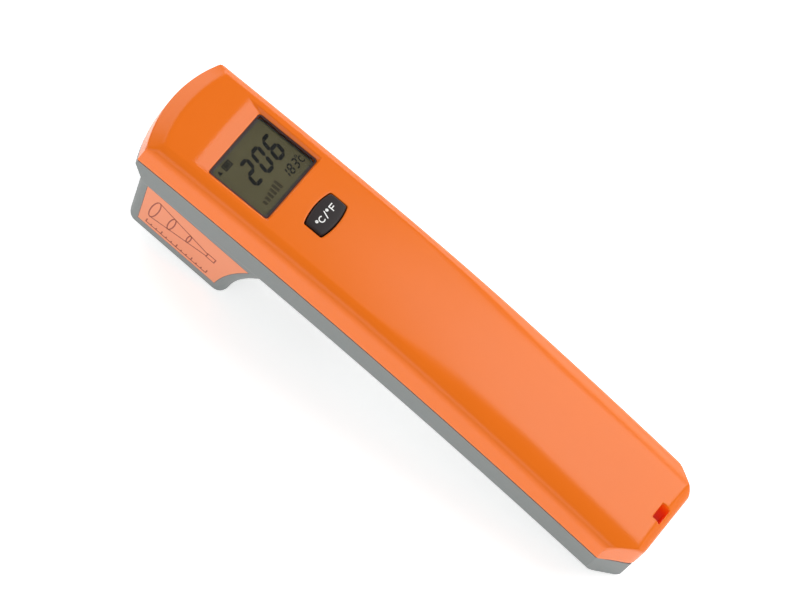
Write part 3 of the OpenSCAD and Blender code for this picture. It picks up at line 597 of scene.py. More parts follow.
def surface_group(name, **values):
    """A group that takes a place, a colour and values, to give colour, roughness and grain height."""
    group = bpy.data.node_groups.new(name, "ShaderNodeTree")
    socket = group.interface.new_socket
    for label, kind in (("Vector", VECTOR), ("Colour", COLOUR)):
        socket(name=label, in_out="INPUT", socket_type=kind)
    for label, default in values.items():
        socket(name=label, in_out="INPUT", socket_type=FLOAT).default_value = default
    for label, kind in (("Colour", COLOUR), ("Roughness", FLOAT), ("Height", FLOAT)):
        socket(name=label, in_out="OUTPUT", socket_type=kind)
    return group, group.nodes.new("NodeGroupInput"), group.nodes.new("NodeGroupOutput")


def feed(tree, socket, value):
    """Sets a socket to a number, or links another node's output to it."""
    if isinstance(value, (int, float)):
        socket.default_value = value
    else:
        tree.links.new(value, socket)


def math_node(tree, operation, *values):
    node = tree.nodes.new("ShaderNodeMath")
    node.operation = operation
    for socket, value in zip(node.inputs, values):
        feed(tree, socket, value)
    return node.outputs[0]


def noise(tree, vector, scale, detail):
    node = tree.nodes.new("ShaderNodeTexNoise")
    for label, value in {"Vector": vector, "Scale": scale, "Detail": detail, "Roughness": 0.55}.items():
        feed(tree, node.inputs[label], value)
    return node.outputs["Fac"]


def surface_end(group, given, end, tone, gloss, height):
    """Turns values round zero into a lighter or darker colour and a duller or glossier surface."""
    colour = group.nodes.new("ShaderNodeVectorMath")
    colour.operation = "SCALE"
    group.links.new(given["Colour"], colour.inputs[0])
    feed(group, colour.inputs["Scale"], math_node(group, "MULTIPLY_ADD", tone, given["Tone"], 1.0))
    rough = math_node(group, "MULTIPLY_ADD", gloss, given["Spread"], given["Roughness"])
    group.links.new(colour.outputs["Vector"], end.inputs["Colour"])
    group.links.new(rough, end.inputs["Roughness"])
    group.links.new(height, end.inputs["Height"])


def moulded_group():
    """Cloudy tone, uneven gloss and fine grain of a moulded or coated surface."""
    group, start, end = surface_group("Moulded surface", Tone=0.05, Clouds=60.0, Roughness=0.4,
                                      Spread=0.05, Grain=2500.0)
    given = start.outputs
    cloud = math_node(group, "SUBTRACT", noise(group, given["Vector"], given["Clouds"], detail=3.0), 0.5)
    grain = noise(group, given["Vector"], given["Grain"], detail=4.0)
    smear = math_node(group, "SUBTRACT", math_node(group, "ADD", grain, cloud), 0.5)
    surface_end(group, given, end, tone=cloud, gloss=smear, height=grain)
    return group


def streaked_group():
    """Fine streaks along one direction, as on turned or drawn metal."""
    group, start, end = surface_group("Streaked metal", Tone=0.1, Roughness=0.3, Spread=0.15)
    given = start.outputs
    stretch = group.nodes.new("ShaderNodeMapping")
    stretch.inputs["Scale"].default_value = (1, 14, 14)
    group.links.new(given["Vector"], stretch.inputs["Vector"])
    streak = noise(group, stretch.outputs["Vector"], scale=900.0, detail=2.0)
    around = math_node(group, "SUBTRACT", streak, 0.5)
    surface_end(group, given, end, tone=around, gloss=around, height=streak)
    return group


def shared_group(name, make):
    return bpy.data.node_groups.get(name) or make()


def shader_of(material):
    return material.node_tree.nodes["Principled BSDF"]


def set_values(node, **values):
    """Sets a node's sockets by name, with _ for each space."""
    for label, value in values.items():
        node.inputs[label.replace("_", " ")].default_value = value


def surfaced(name, colour, group, values, bump, depth):
    """A material whose colour, roughness and grain come from a shared surface group."""
    material = bpy.data.materials.new(name)
    material.use_nodes = True
    material.diffuse_color = colour
    tree, shader = material.node_tree, shader_of(material)
    surface = tree.nodes.new("ShaderNodeGroup")
    surface.node_tree = group
    set_values(surface, Colour=colour, **values)
    relief = tree.nodes.new("ShaderNodeBump")
    set_values(relief, Strength=bump, Distance=depth)
    coordinates = tree.nodes.new("ShaderNodeTexCoord")
    tree.links.new(coordinates.outputs["Object"], surface.inputs["Vector"])
    tree.links.new(surface.outputs["Colour"], shader.inputs["Base Color"])
    tree.links.new(surface.outputs["Roughness"], shader.inputs["Roughness"])
    tree.links.new(surface.outputs["Height"], relief.inputs["Height"])
    tree.links.new(relief.outputs["Normal"], shader.inputs["Normal"])
    return material


def moulded(name, colour, roughness, bump=0.15, depth=0.00004, coat=0.0, specular=0.5, **values):
    """Plastic, film, paint or print."""
    group = shared_group("Moulded surface", moulded_group)
    material = surfaced(name, colour, group, {"Roughness": roughness, **values}, bump, depth)
    set_values(shader_of(material), Coat_Weight=coat, Specular_IOR_Level=specular)
    return material


def metal(name, colour, roughness):
    group = shared_group("Streaked metal", streaked_group)
    material = surfaced(name, colour, group, {"Roughness": roughness}, bump=0.1, depth=0.00003)
    set_values(shader_of(material), Metallic=1.0)
    return material


def glowing(material, colour, strength):
    """The same material with a light of its own."""
    set_values(shader_of(material), Emission_Color=colour, Emission_Strength=strength)
    return material


def clear_pane(name, colour, roughness):
    """Clear plastic that lets the lamps' light through to what lies behind it."""
    material = moulded(name, colour, roughness, bump=0.01, depth=0.00001, Tone=0.02, Spread=0.02,
                       Grain=300.0)
    tree, shader = material.node_tree, shader_of(material)
    set_values(shader, Transmission_Weight=1.0, IOR=1.1)
    through = tree.nodes.new("ShaderNodeBsdfTransparent")
    path = tree.nodes.new("ShaderNodeLightPath")
    mix = tree.nodes.new("ShaderNodeMixShader")
    tree.links.new(path.outputs["Is Shadow Ray"], mix.inputs["Fac"])
    tree.links.new(shader.outputs["BSDF"], mix.inputs[1])
    tree.links.new(through.outputs["BSDF"], mix.inputs[2])
    tree.links.new(mix.outputs["Shader"], tree.nodes["Material Output"].inputs["Surface"])
    return material


def soft_edges_group():
    """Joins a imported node's faces and runs their shading together where they meet at a small angle."""
    group = bpy.data.node_groups.new("Soft edges", "GeometryNodeTree")
    socket = group.interface.new_socket
    socket(name="Geometry", in_out="INPUT", socket_type="NodeSocketGeometry")
    widest = socket(name="Widest Angle", in_out="INPUT", socket_type=FLOAT)
    widest.default_value = math.radians(30)
    socket(name="Geometry", in_out="OUTPUT", socket_type="NodeSocketGeometry")
    add = group.nodes.new
    start, end = add("NodeGroupInput"), add("NodeGroupOutput")
    own_normals = add("GeometryNodeRemoveAttribute")
    own_normals.inputs["Name"].default_value = "custom_normal"
    joined = add("GeometryNodeMergeByDistance")
    joined.inputs["Distance"].default_value = 1e-6
    meeting = add("GeometryNodeInputMeshEdgeAngle")
    faces = add("GeometryNodeSetShadeSmooth")
    edges = add("GeometryNodeSetShadeSmooth")
    edges.domain = "EDGE"
    small = math_node(group, "LESS_THAN", meeting.outputs["Unsigned Angle"],
                      start.outputs["Widest Angle"])
    group.links.new(small, edges.inputs["Shade Smooth"])
    chain = (start, own_normals, joined, faces, edges, end)
    for first, second in zip(chain, chain[1:]):
        group.links.new(first.outputs[0], second.inputs[0])
    return group


def dress(node, finish):
    """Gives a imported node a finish, and even shading over its rounded edges."""
    packed = frame["nodes"][node]
    packed.modifiers.new("Soft edges", "NODES").node_group = shared_group("Soft edges", soft_edges_group)
    packed.modifiers.new("Even shading", "WEIGHTED_NORMAL").keep_sharp = True
    if not packed.material_slots:
        packed.data.materials.append(finish)
    for slot in packed.material_slots:
        slot.material = finish


def colours(context):
    return context.scene.thermometer_finishes


# Operators: one for each piece or group of like pieces, sizes in millimetres


class UpperCasing(bpy.types.Operator):
    """Makes the orange upper casing with its recess, holes, rounded edges and screw pillars"""

    bl_idname = "thermometer.upper_casing"
    bl_label = "Upper casing"

    # Runs of the recess's walls in plan, and the grid's widest steps
    rear_run, front_run, side_run = 0.6, 4.7, 1.05
    row_step, column_step = 2.6, 0.9
    # Thickness of the rear wall, and how much wider the holes are inside
    rear_wall, hole_play = 1.5, 0.25
    # Rounded lip, groove and tongue along the parting line, and the gap over that line
    lip, groove, tongue, parting_gap = 0.25, 0.7, 0.6, 0.05
    # Ledge under the window's gasket: width, depth and depth of its foot
    ledge, ledge_depth, foot_depth = 0.5, 1.1, 1.8
    # Steps down the button's hole, and width of the slot's foot
    button_steps, slot_foot = (0.5, 1.9), 0.2
    # Strength of the painted glow on the slot's walls, a constant emission that stands in for light through
    # the plastic
    slot_painted_glow = 0.17
    # Rows of faces down the outer walls, as shares of their height
    wall_rows = (0.15, 0.4, 0.7, 0.9, 1.0)
    # Radius and bore of the screw pillars, foot over the parting line, and reach into the roof
    casing_pillar, casing_bore, casing_bore_top = 3.0, 1.35, 7.0
    board_pillar, board_bore, board_bore_depth = 2.6, 1.05, 4.0
    pillar_foot, pillar_sunk = 0.4, 0.6

    def execute(self, context):
        shape, tone = casing_shape(context), colours(context)
        skin = Skin()
        rows, columns = self.grid_lines(shape)
        holes = self.holes(shape, rows, columns)
        flat_u, flat_y = np.meshgrid(rows, columns, indexing="ij")
        outside = skin.add(self.outside(shape, flat_u, flat_y))
        inside = skin.add(self.inside(shape, flat_u, flat_y))
        keep = np.ones((len(rows) - 1, len(columns) - 1), bool)
        for (r0, r1), (c0, c1), _ in holes:
            keep[r0:r1, c0:c1] = False
        skin.quads(outside, keep)
        skin.quads(inside, keep)
        for at_rows, at_columns, wall in holes:
            start = len(skin.faces)
            ring = rim(outside, at_rows, at_columns)
            skin.walls(ring, wall(shape, skin.at(ring)), rim(inside, at_rows, at_columns))
            if wall == self.slot_wall:
                slot_faces = slice(start, len(skin.faces))
        self.side_walls(shape, skin, outside, inside)
        self.pillars(shape, skin)
        orange = moulded("casing_orange", tone.orange, 0.24, bump=0.04, specular=0.3, Tone=0.05,
                         Spread=0.05)
        casing = skin.piece("upper_casing", body_place(shape), orange, "casing", "shell_orange",
                            ["upper_shell"], smooth_angle=40)
        # Painted glow: the slot's walls get a second material with a constant red emission, standing in for
        # light that comes through the plastic
        red = moulded("slot_orange", tone.orange, 0.3, bump=0.04, specular=0.3, Tone=0.05)
        casing.data.materials.append(glowing(red, tone.glow, self.slot_painted_glow))
        for face in casing.data.polygons[slot_faces]:
            face.material_index = 1
        return {"FINISHED"}

    def grid_lines(self, shape):
        """Rows along the body and columns across it, each stop with the grid's step there."""
        front, half = shape.front, shape.half
        slot, button, window = shape.openings
        rows = stations([
            (-front, 0.01), (slot[0], 0.05), (slot[1], 0.05), (-front + shape.rear_zone, 1.0),
            (button[0], 0.05), (button[1], 0.05), (window[0] - self.rear_run, 0.1), (window[0], 0.06),
            (window[1], 0.06), (window[1] + self.front_run, 0.2), (front - shape.front_bevel[0], 0.15),
            (front, 0.01)], self.row_step)
        columns = stations([
            (0, 0.7), (slot[2], 0.05), (button[2], 0.05), (window[2], 0.06),
            (window[2] + self.side_run, 0.1), (half - shape.head_edge, 0.3), (half, 0.02)],
            self.column_step)
        return rows, np.concatenate([-columns[:0:-1], columns])

    def holes(self, shape, rows, columns):
        """Blocks of the grid that are open, each with its wall from the outside in."""
        walls = (self.slot_wall, self.button_wall, self.window_wall)
        blocks = []
        for (low, high, across), wall in zip(shape.openings, walls):
            at_rows = nearest(rows, low), nearest(rows, high)
            at_columns = nearest(columns, -across), nearest(columns, across)
            blocks.append((at_rows, at_columns, wall))
        return blocks

    def slot_wall(self, shape, ring):
        low = ring.copy()
        low[:, 2] = shape.over_parting(low[:, 0]) + self.parting_gap
        middle = (ring + low) / 2
        outer = low.copy()
        outer[:, 0] += np.sign(low[:, 0] - shape.slot_x) * self.slot_foot
        outer[:, 1] += np.sign(low[:, 1]) * self.slot_foot
        return [middle, low, outer]

    def button_wall(self, shape, ring):
        return [ring - (0, 0, drop) for drop in self.button_steps]

    def window_wall(self, shape, ring):
        """Down to the ledge that carries the gasket, in over it, and down to the cell."""
        ahead, up = ring[:, 0] - shape.window_x, ring[:, 2] - shape.window_z
        dx = ahead * shape.deck_cos - up * shape.deck_sin
        steps = ((0, self.ledge_depth), (self.ledge, self.ledge_depth), (self.ledge, self.foot_depth))
        loops = []
        for inward, depth in steps:
            x, z = shape.from_deck(dx * (1 - inward / (shape.recess_l / 2)), -depth)
            loops.append(np.column_stack([x, ring[:, 1] * (1 - inward / (shape.recess_w / 2)), z]))
        return loops

    def outside(self, shape, flat_u, flat_y):
        """Grid points on the outside, with round corners and soft edges."""
        front, half = shape.front, shape.half
        inset = np.minimum(half - np.abs(flat_y), front - np.abs(flat_u))
        drop = edge_drop(inset, shape.edge) + edge_drop(front + flat_u, shape.rear_edge)
        u, y = round_block(flat_u, flat_y, -front, front, half, shape.plan_round, shape.outline_fade)
        for (low, high, across), (corner, edge) in zip(shape.openings, shape.opening_rounds):
            along = np.abs(flat_u - (low + high) / 2) - (high - low) / 2
            away = np.maximum(along, np.abs(flat_y) - across)
            drop = drop + edge_drop(np.maximum(away, 0), edge)
            u, y = round_block(u, y, low, high, across, corner, shape.opening_fade)
        x = shape.plan_x(u, y)
        return np.stack([x, y, shape.top(x, y) - drop], axis=-1)

    def inside(self, shape, flat_u, flat_y):
        """Grid points on the inside: the same grid drawn in by the wall, holes kept a little wider."""
        front, half, wall = shape.front, shape.half, shape.wall
        edges = [edge for low, high, _ in shape.openings for edge in (low, high)]
        wider = [edge + side * self.hole_play for edge, side in zip(edges, SIDES * len(shape.openings))]
        u = np.interp(flat_u, [-front, *edges, front], [-front + self.rear_wall, *wider, front - wall])
        marks = [across for _, _, across in shape.openings]
        drawn = [mark + self.hole_play for mark in marks]
        y = np.sign(flat_y) * np.interp(np.abs(flat_y), [0, *marks, half], [0, *drawn, half - wall])
        x = shape.plan_x(u, y)
        return np.stack([x, y, shape.roof(x, y)], axis=-1)

    def side_walls(self, shape, skin, outside, inside):
        """Upright walls down to the parting line, with a rounded lip and a narrow groove there."""
        every_row, every_column = (0, outside.shape[0] - 1), (0, outside.shape[1] - 1)
        ring, inner = rim(outside, every_row, every_column), rim(inside, every_row, every_column)
        top, inner_foot = skin.at(ring), skin.at(inner)
        foot = top.copy()
        foot[:, 2] = shape.over_parting(top[:, 0]) + self.parting_gap + self.groove
        inner_foot[:, 2] = shape.over_parting(inner_foot[:, 0]) + self.parting_gap
        toward = (inner_foot - foot) * (1, 1, 0)
        toward /= np.linalg.norm(toward, axis=1)[:, None]
        loops = [top + (foot + (0, 0, self.lip) - top) * part for part in self.wall_rows]
        for turn in np.radians((30, 60, 90)):
            up, along = self.lip * (1 - math.sin(turn)), self.lip * (1 - math.cos(turn))
            loops.append(foot + (0, 0, up) + toward * along)
        tongue = foot + toward * (self.lip + self.tongue)
        skin.walls(ring, [*loops, tongue, tongue - (0, 0, self.groove), inner_foot], inner)

    def pillars(self, shape, skin):
        """Bored pillars under the roof: upright for casing screws, square to the deck for the board's."""
        def roof(flat):
            return shape.roof(flat[:, 0], flat[:, 1]) + self.pillar_sunk

        def deck_roof(flat):
            x = shape.window_x + flat[:, 0] * shape.deck_cos
            height = shape.roof(x, flat[:, 1]) + self.pillar_sunk
            return (height - shape.window_z + flat[:, 0] * shape.deck_sin) / shape.deck_cos

        def from_deck(ring):
            x, z = shape.from_deck(ring[:, 0], ring[:, 2])
            return np.column_stack([x, ring[:, 1], z])

        for spot in screw_spots("shell_screws", body_place(shape)):
            base = shape.over_parting(spot[0], self.pillar_foot)
            bore = (self.casing_bore, self.casing_bore_top - base)
            skin.tube(self.bored(spot, base, self.casing_pillar, bore, roof), capped=True)
        deck = deck_place()
        base = node_points("main_board", deck)[:, 2].max()
        for spot in screw_spots("board_screws", deck):
            bore = (self.board_bore, self.board_bore_depth)
            rings = self.bored(spot, base, self.board_pillar, bore, deck_roof)
            skin.tube([from_deck(ring) for ring in rings], capped=True)

    @staticmethod
    def bored(spot, base, radius, bore, roof):
        """Rings of a pillar from the end of its bore, round its foot and up into the roof."""
        inner, outer = (spot + reach * circle(40) for reach in (bore[0], radius))
        return [level(inner, base + bore[1]), level(inner, base), level(outer, base),
                level(outer, roof(outer))]


class GreyCasing(bpy.types.Operator):
    """Finishes the lower casing, nose and battery door, and adds the door's grip ribs"""

    bl_idname = "thermometer.grey_casing"
    bl_label = "Grey casing"

    # Grip ribs: number, first one's distance from the door's rear, pitch, half length, width and height
    ribs, first, pitch = 5, 3.0, 1.9
    half, width, height = 7.0, 0.9, 0.3
    # Share of the half length and of the section, along a rib
    rib_ends = ((-1, 0.2), (-0.98, 0.7), (-0.94, 1), (0.94, 1), (0.98, 0.7), (1, 0.2))
    # Arrow before the ribs: distance from them, length and half width
    arrow_gap, arrow_length, arrow_half = 1.5, 3.0, 3.2

    def execute(self, context):
        grey = moulded("casing_grey", colours(context).grey, 0.52, bump=0.25, depth=0.00005, Tone=0.06,
                       Spread=0.1, Grain=3200.0)
        for node in ("lower_shell", "nose_housing", "battery_door"):
            dress(node, grey)
        shape = casing_shape(context)
        body = body_place(shape)
        door = node_points("battery_door", body)
        under = np.hypot(door[:, 0], door[:, 2] + shape.arch).min() - shape.arch
        skin = Skin()
        x = door[:, 0].min() + self.first
        for _ in range(self.ribs):
            self.rib(skin, x, shape.over_parting(x, under))
            x += self.pitch
        x += self.arrow_gap
        face = shape.over_parting(x, under)
        tail = x + self.arrow_length
        arrow = [(tail, self.arrow_half), (x, 0), (tail, -self.arrow_half)]
        skin.prism(arrow, face - self.height, face + self.height)
        skin.piece("door_grip", body, grey, "door", "shell_grey", smooth_angle=50)
        return {"FINISHED"}

    def rib(self, skin, x, face):
        """A rounded bar across the door, its ends drawn down."""
        section = circle(12) * (self.width / 2, self.height)
        rings = []
        for y, part in self.rib_ends:
            rings.append([(x + part * dx, y * self.half, face + part * dz) for dx, dz in section])
        skin.tube(rings, capped=True)


class Display(bpy.types.Operator):
    """Finishes the window, gasket and cell, and draws the reading"""

    bl_idname = "thermometer.display"
    bl_label = "Display"

    # Border on the pane's back: margin, width, corner radius, and depths behind the pane
    border_margin, border_width, border_corner, border_depths = 0.05, 0.5, 0.8, (0.03, 0.1)
    # Sideways lean of the digits, play between their segments, and thickness of marks and faint marks
    slant, segment_play, film, faint_film = 0.22, 0.12, 0.03, 0.02
    # Height of the digits' backs and of drawn lines over the cell
    digit_lift, line_lift = 0.005, 0.01
    # Level scale: number of bars, rear edge, front edge and place of the first bar
    scale_bars, scale_rear, scale_front, scale_start = 6, -8.2, -6.6, 8.4
    # Growth from bar to bar, pitch, and half width of a bar
    scale_growth, scale_pitch, scale_half = 0.3, 1.5, 0.5
    # Segments of a digit: place in widths and heights from its middle, and whether it lies across
    segments = {"a": (0, 0.5, True), "b": (0.5, 0.25, False), "c": (0.5, -0.25, False),
                "d": (0, -0.5, True), "e": (-0.5, -0.25, False), "f": (-0.5, 0.25, False),
                "g": (0, 0, True)}
    lit = {"0": "abcdef", "1": "bc", "2": "abged", "3": "abgcd", "6": "afgedc", "8": "abcdefg"}

    def execute(self, context):
        display, tone = context.scene.thermometer_display, colours(context)
        dress("display_window", clear_pane("window_pane", (0.97, 0.97, 0.95, 1), 0.03))
        dress("window_gasket", moulded("gasket", tone.seal, 0.6, Tone=0.1))
        cell = moulded("liquid_crystal", tone.cell, 0.4, bump=0.02, depth=0.00002, specular=0.15,
                       Tone=0.25, Clouds=90.0, Spread=0.05, Grain=5000.0)
        dress("lcd_panel", cell)
        dress("lcd_frame", moulded("cell_frame", tone.black, 0.6, Tone=0.1))
        dress("lcd_connectors", moulded("cell_strips", srgb(0x3F3F40), 0.7, Tone=0.2))
        place = deck_place()
        self.face = node_points("lcd_panel", place)[:, 2].max()
        for name, draw, colour in (("display_reading", self.reading, tone.segment),
                                   ("display_ghost", self.ghost, tone.ghost)):
            skin = Skin()
            draw(skin, display)
            ink = moulded(name, colour, 0.5, Tone=0.1, bump=0.02, specular=0.1)
            skin.piece(name, place, ink, "casing", "lcd_glass", smooth_angle=20)
        skin = Skin()
        self.border(skin, display)
        black = moulded("window_border", tone.black, 0.5, Tone=0.1)
        skin.piece("window_border", place, black, "casing", "clear_window", smooth_angle=30)
        return {"FINISHED"}

    def border(self, skin, display):
        """Dark frame printed on the pane's back, over the gap round the cell."""
        pane, length, width = millimetres(display, "pane", "length", "width")
        near, deep = self.border_depths
        outer, inner = self.border_margin, self.border_width
        rings = []
        for inset, drop in ((outer, near), (inner, near), (inner, deep), (outer, deep)):
            half = np.array([length / 2 - inset, width / 2 - inset])
            x, y = (square(96) * half).T
            x, y = round_block(x, y, -half[0], half[0], half[1], self.border_corner)
            rings.append(level(np.column_stack([x, y]), -pane - drop))
        indexes = skin.tube(rings)
        skin.bridge(indexes[-1], indexes[0])

    def bar(self, skin, middle, line, length, thick, across):
        """One segment of the reading; text runs from left to right with its top to the front."""
        flat = (length - thick) / 2
        ends = [(-length / 2, 0), (-flat, thick / 2), (flat, thick / 2),
                (length / 2, 0), (flat, -thick / 2), (-flat, -thick / 2)]
        if not across:
            ends = [(y, x) for x, y in ends][::-1]
        outline = []
        for x, y in ends:
            up = middle[1] + y
            outline.append((up, -(middle[0] + x + self.slant * (up - line))))
        skin.prism(outline, self.face + self.digit_lift, self.face + self.film)

    def number(self, skin, digits, left, line, digit_size, thick):
        """Digits along a line of text; left and line are the middle of the first one."""
        width, height, pitch = digit_size
        for place, digit in enumerate(digits):
            for key in self.lit[digit]:
                dx, dy, across = self.segments[key]
                middle = (left + place * pitch + dx * (width - thick), line + dy * (height - thick))
                length = (width - thick if across else (height - thick) / 2) - self.segment_play
                self.bar(skin, middle, line, length, thick, across)

    def block(self, skin, low, high, y, half, film):
        """A bar of the cell from low to high along the body."""
        outline = [(low, y - half), (high, y - half), (high, y + half), (low, y + half)]
        skin.prism(outline, self.face, self.face + film)

    def reading(self, skin, display):
        def flat(x, y):
            return np.full(np.shape(x), self.face + self.line_lift)

        large = millimetres(display, "digit_width", "digit_height", "digit_pitch")
        self.number(skin, "206", left=-3.5, line=1.5, digit_size=large, thick=1.25)
        self.number(skin, "183", left=3.4, line=-6.5, digit_size=(1.9, 3.4, 2.4), thick=0.55)
        # Degree sign and C after the small number
        skin.ribbon(arc((-5.1, -10.0), (0.35, 0.35), 0, 330, 30), 0.25, flat, closed=True)
        bend = arc((-10.6, -6.9), (-0.75, -1.0), 50, 310, 20)
        skin.ribbon(bend[:, ::-1], 0.4, flat)
        # Battery mark with its bars, and hold mark, by the front edge
        skin.ribbon([(7.2, 8.3), (7.2, 5.3), (9.0, 5.3), (9.0, 8.3)], 0.4, flat, closed=True)
        for y in (7.55, 6.8, 6.05):
            self.block(skin, 7.5, 8.7, y, 0.3, self.film)
        skin.prism([(7.5, 11.2), (9.0, 10.4), (7.5, 9.6)], self.face, self.face + self.film)

    def ghost(self, skin, display):
        """Bars of a level scale by the rear edge, which show faintly while they are off."""
        for step in range(self.scale_bars):
            front = self.scale_front + self.scale_growth * step
            y = self.scale_start - self.scale_pitch * step
            self.block(skin, self.scale_rear, front, y, self.scale_half, self.faint_film)


class UnitButton(bpy.types.Operator):
    """Makes the barrel-shaped unit button and its raised unit marks"""

    bl_idname = "thermometer.unit_button"
    bl_label = "Unit button"

    # Fall of the domed face to its edges, edge radius and corner radius
    dome, round_edge, corner = 0.22, 0.45, 0.5
    # Most of the dome's fall, in domes, and depth of the straight side's start under the edge
    dome_most, side_start = 1.4, 0.15
    # Legend's stroke in heights of the marks, and half its thickness
    legend_stroke, legend_half = 0.17, 0.025
    # Flange under the roof: distance from it, reach past the cap and thickness
    flange_gap, flange_reach, flange_thick = 0.6, 1.15, 1.0
    # Stem: radius, play over the plunger, half the plunger's height, and least length
    stem_radius, stem_play, plunger_half, stem_least = 1.6, 0.05, 1.05, 0.1

    def execute(self, context):
        tone = colours(context)
        self.shape = shape = casing_shape(context)
        self.half = np.array([shape.button_l / 2, shape.button_w / 2])
        self.face = shape.button_top + shape.proud
        place = deck_place() @ Matrix.Translation((shape.button_dx, 0, 0))
        skin = Skin()
        self.cap(skin)
        charcoal = moulded("button_charcoal", tone.charcoal, 0.5, bump=0.2, specular=0.3, Tone=0.15,
                           Spread=0.1)
        skin.piece("unit_cap", place, charcoal, "button", "button_dark", ["unit_button"], smooth_angle=50)
        marks = Skin()
        self.legend(marks, context.scene.thermometer_button.legend_height / MM)
        paint = moulded("legend_white", tone.legend, 0.5, Tone=0.05)
        marks.piece("unit_legend", place, paint, "button", "button_dark", smooth_angle=25)
        for node, code in (("unit_switch", 0x202224), ("unit_plunger", 0x8A8D90)):
            dress(node, moulded(node, srgb(code), 0.45, Tone=0.1))
        return {"FINISHED"}

    def outline(self, inset):
        """Barrel outline pulled in by inset, its corners rounded."""
        shape, (half_l, half_w) = self.shape, self.half
        across, y = square(96).T * np.array([[1], [half_w]])
        x = across * (np.sqrt(shape.button_r ** 2 - y ** 2) - shape.button_r + half_l)
        end_l = half_l - shape.bulge
        x, y = round_block(x, y, -end_l, end_l, half_w, self.corner)
        return np.column_stack([x, y]) * (1 - inset / self.half)

    def crown(self, x, y):
        """Height of the domed face."""
        edge = np.square(np.asarray(x) / self.half[0]) + np.square(np.asarray(y) / self.half[1])
        return self.face - self.dome * np.minimum(edge, self.dome_most)

    def cap(self, skin):
        """Rings from the middle of the face, over its edge, down the side, round the flange to the stem."""
        flange = self.shape.button_top - self.shape.wall - self.flange_gap
        inner = self.outline(self.round_edge)
        rings = [level(inner * part, self.crown(*(inner * part).T)) for part in (0.25, 0.5, 0.75, 0.9)]
        for turn in np.radians((0, 20, 40, 60, 80)):
            flat = self.outline(self.round_edge * (1 - math.sin(turn)))
            rings.append(level(flat, self.crown(*flat.T) - self.round_edge * (1 - math.cos(turn))))
        side = self.outline(0)
        wide = side * ((self.half + self.flange_reach) / self.half)
        stem = self.stem_radius * circle(len(wide))
        low, high = (Vector(corner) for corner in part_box("unit_plunger"))
        plunger = (deck_place().inverted() @ ((low + high) / 2)).z + self.plunger_half
        under = flange - self.flange_thick
        side_top = self.face - self.dome - self.round_edge - self.side_start
        stem_end = min(plunger + self.stem_play, under - self.stem_least)
        rings += [level(side, side_top), level(side, flange), level(wide, flange), level(wide, under),
                  level(stem, under), level(stem, stem_end)]
        skin.tube(rings, capped=True)

    def legend(self, skin, height):
        """Degree C, slash, degree F; text runs from left to right with its top to the front."""
        def degree(across):
            return arc((across, 0.82), (0.15, 0.15), 0, 330, 30)

        # Middle of the line and its strokes, in heights of the marks, and whether a stroke closes
        middle = (-0.2, 0.5)
        strokes = [(degree(-2.12), True), (arc((-1.3, 0.5), (0.44, 0.42), 42, 318, 12), False),
                   ([(-0.6, -0.06), (-0.12, 1.06)], False), (degree(0.3), True),
                   ([(1.72, 0.92), (0.92, 0.92), (0.92, 0.0)], False),
                   ([(0.92, 0.48), (1.56, 0.48)], False)]
        for path, closed in strokes:
            points = [((v - middle[1]) * height, (middle[0] - u) * height) for u, v in path]
            skin.ribbon(points, self.legend_stroke * height, self.crown, closed=closed,
                        thick=self.legend_half)


class NoseLabels(bpy.types.Operator):
    """Finishes the printed films on the nose's sides and draws a plain measuring diagram"""

    bl_idname = "thermometer.nose_labels"
    bl_label = "Nose labels"

    # Width of the drawn lines
    line = 0.42
    # Diagram's distance from the film's rear, front and foot, and its rise over the film's middle
    rear_margin, front_margin, foot_margin, rise = 12.5, 6.0, 1.3, 1.0
    # Sender box, half widths of the cone's ends, spots along the cone and how wide they are drawn
    box_length, box_half = 3.0, 1.0
    cone_start, cone_end = 0.7, 5.0
    spots, spot_width = (0.35, 0.68, 1.0), 0.25
    # Distance ticks: steps, steps from one long tick to the next, and both heights
    ticks, tick_group, long_tick, short_tick = 12, 3, 1.7, 0.9

    def execute(self, context):
        tone = colours(context)
        film = moulded("label_film", tone.label, 0.35, bump=0.05, Tone=0.08, Spread=0.08)
        ink = moulded("label_ink", tone.ink, 0.5, Tone=0.1)
        body = body_place(casing_shape(context))
        for side, name in zip(SIDES, ("right", "left")):
            dress("label_" + name, film)
            points = node_points("label_" + name, body)
            outer = side * np.abs(points[:, 1]).max()
            turn = Matrix(((-side, 0, 0, 0), (0, 0, side, outer), (0, 1, 0, 0), (0, 0, 0, 1)))
            skin = Skin()
            self.diagram(skin, side, points.min(axis=0), points.max(axis=0))
            skin.piece("label_print_" + name, body @ turn, ink, "casing", "label_orange", smooth_angle=20)
        return {"FINISHED"}

    def diagram(self, skin, side, low, high):
        """A sighting cone with three spots that widen forward, over a row of distance ticks."""
        def flat(u, v):
            return np.zeros(np.shape(u))

        def draw(points, closed=False):
            skin.ribbon([(-side * x, z) for x, z in points], self.line, flat, closed=closed)

        near, far = low[0] + self.rear_margin, high[0] - self.front_margin
        rear, middle = near - self.box_length, (low[2] + high[2]) / 2 + self.rise
        under, over = middle - self.box_half, middle + self.box_half
        draw([(rear, under), (near, under), (near, over), (rear, over)], closed=True)
        for way in SIDES:
            draw([(near, middle + way * self.cone_start), (far, middle + way * self.cone_end)])
        for part in self.spots:
            half = self.cone_start + (self.cone_end - self.cone_start) * part
            x = near + (far - near) * part
            draw(arc((x, middle), (self.spot_width * half, half), 0, 348, 12), closed=True)
        foot = low[2] + self.foot_margin
        draw([(rear, foot), (far, foot)])
        for step in range(self.ticks + 1):
            x = rear + (far - rear) * step / self.ticks
            draw([(x, foot), (x, foot + (self.short_tick if step % self.tick_group else self.long_tick))])


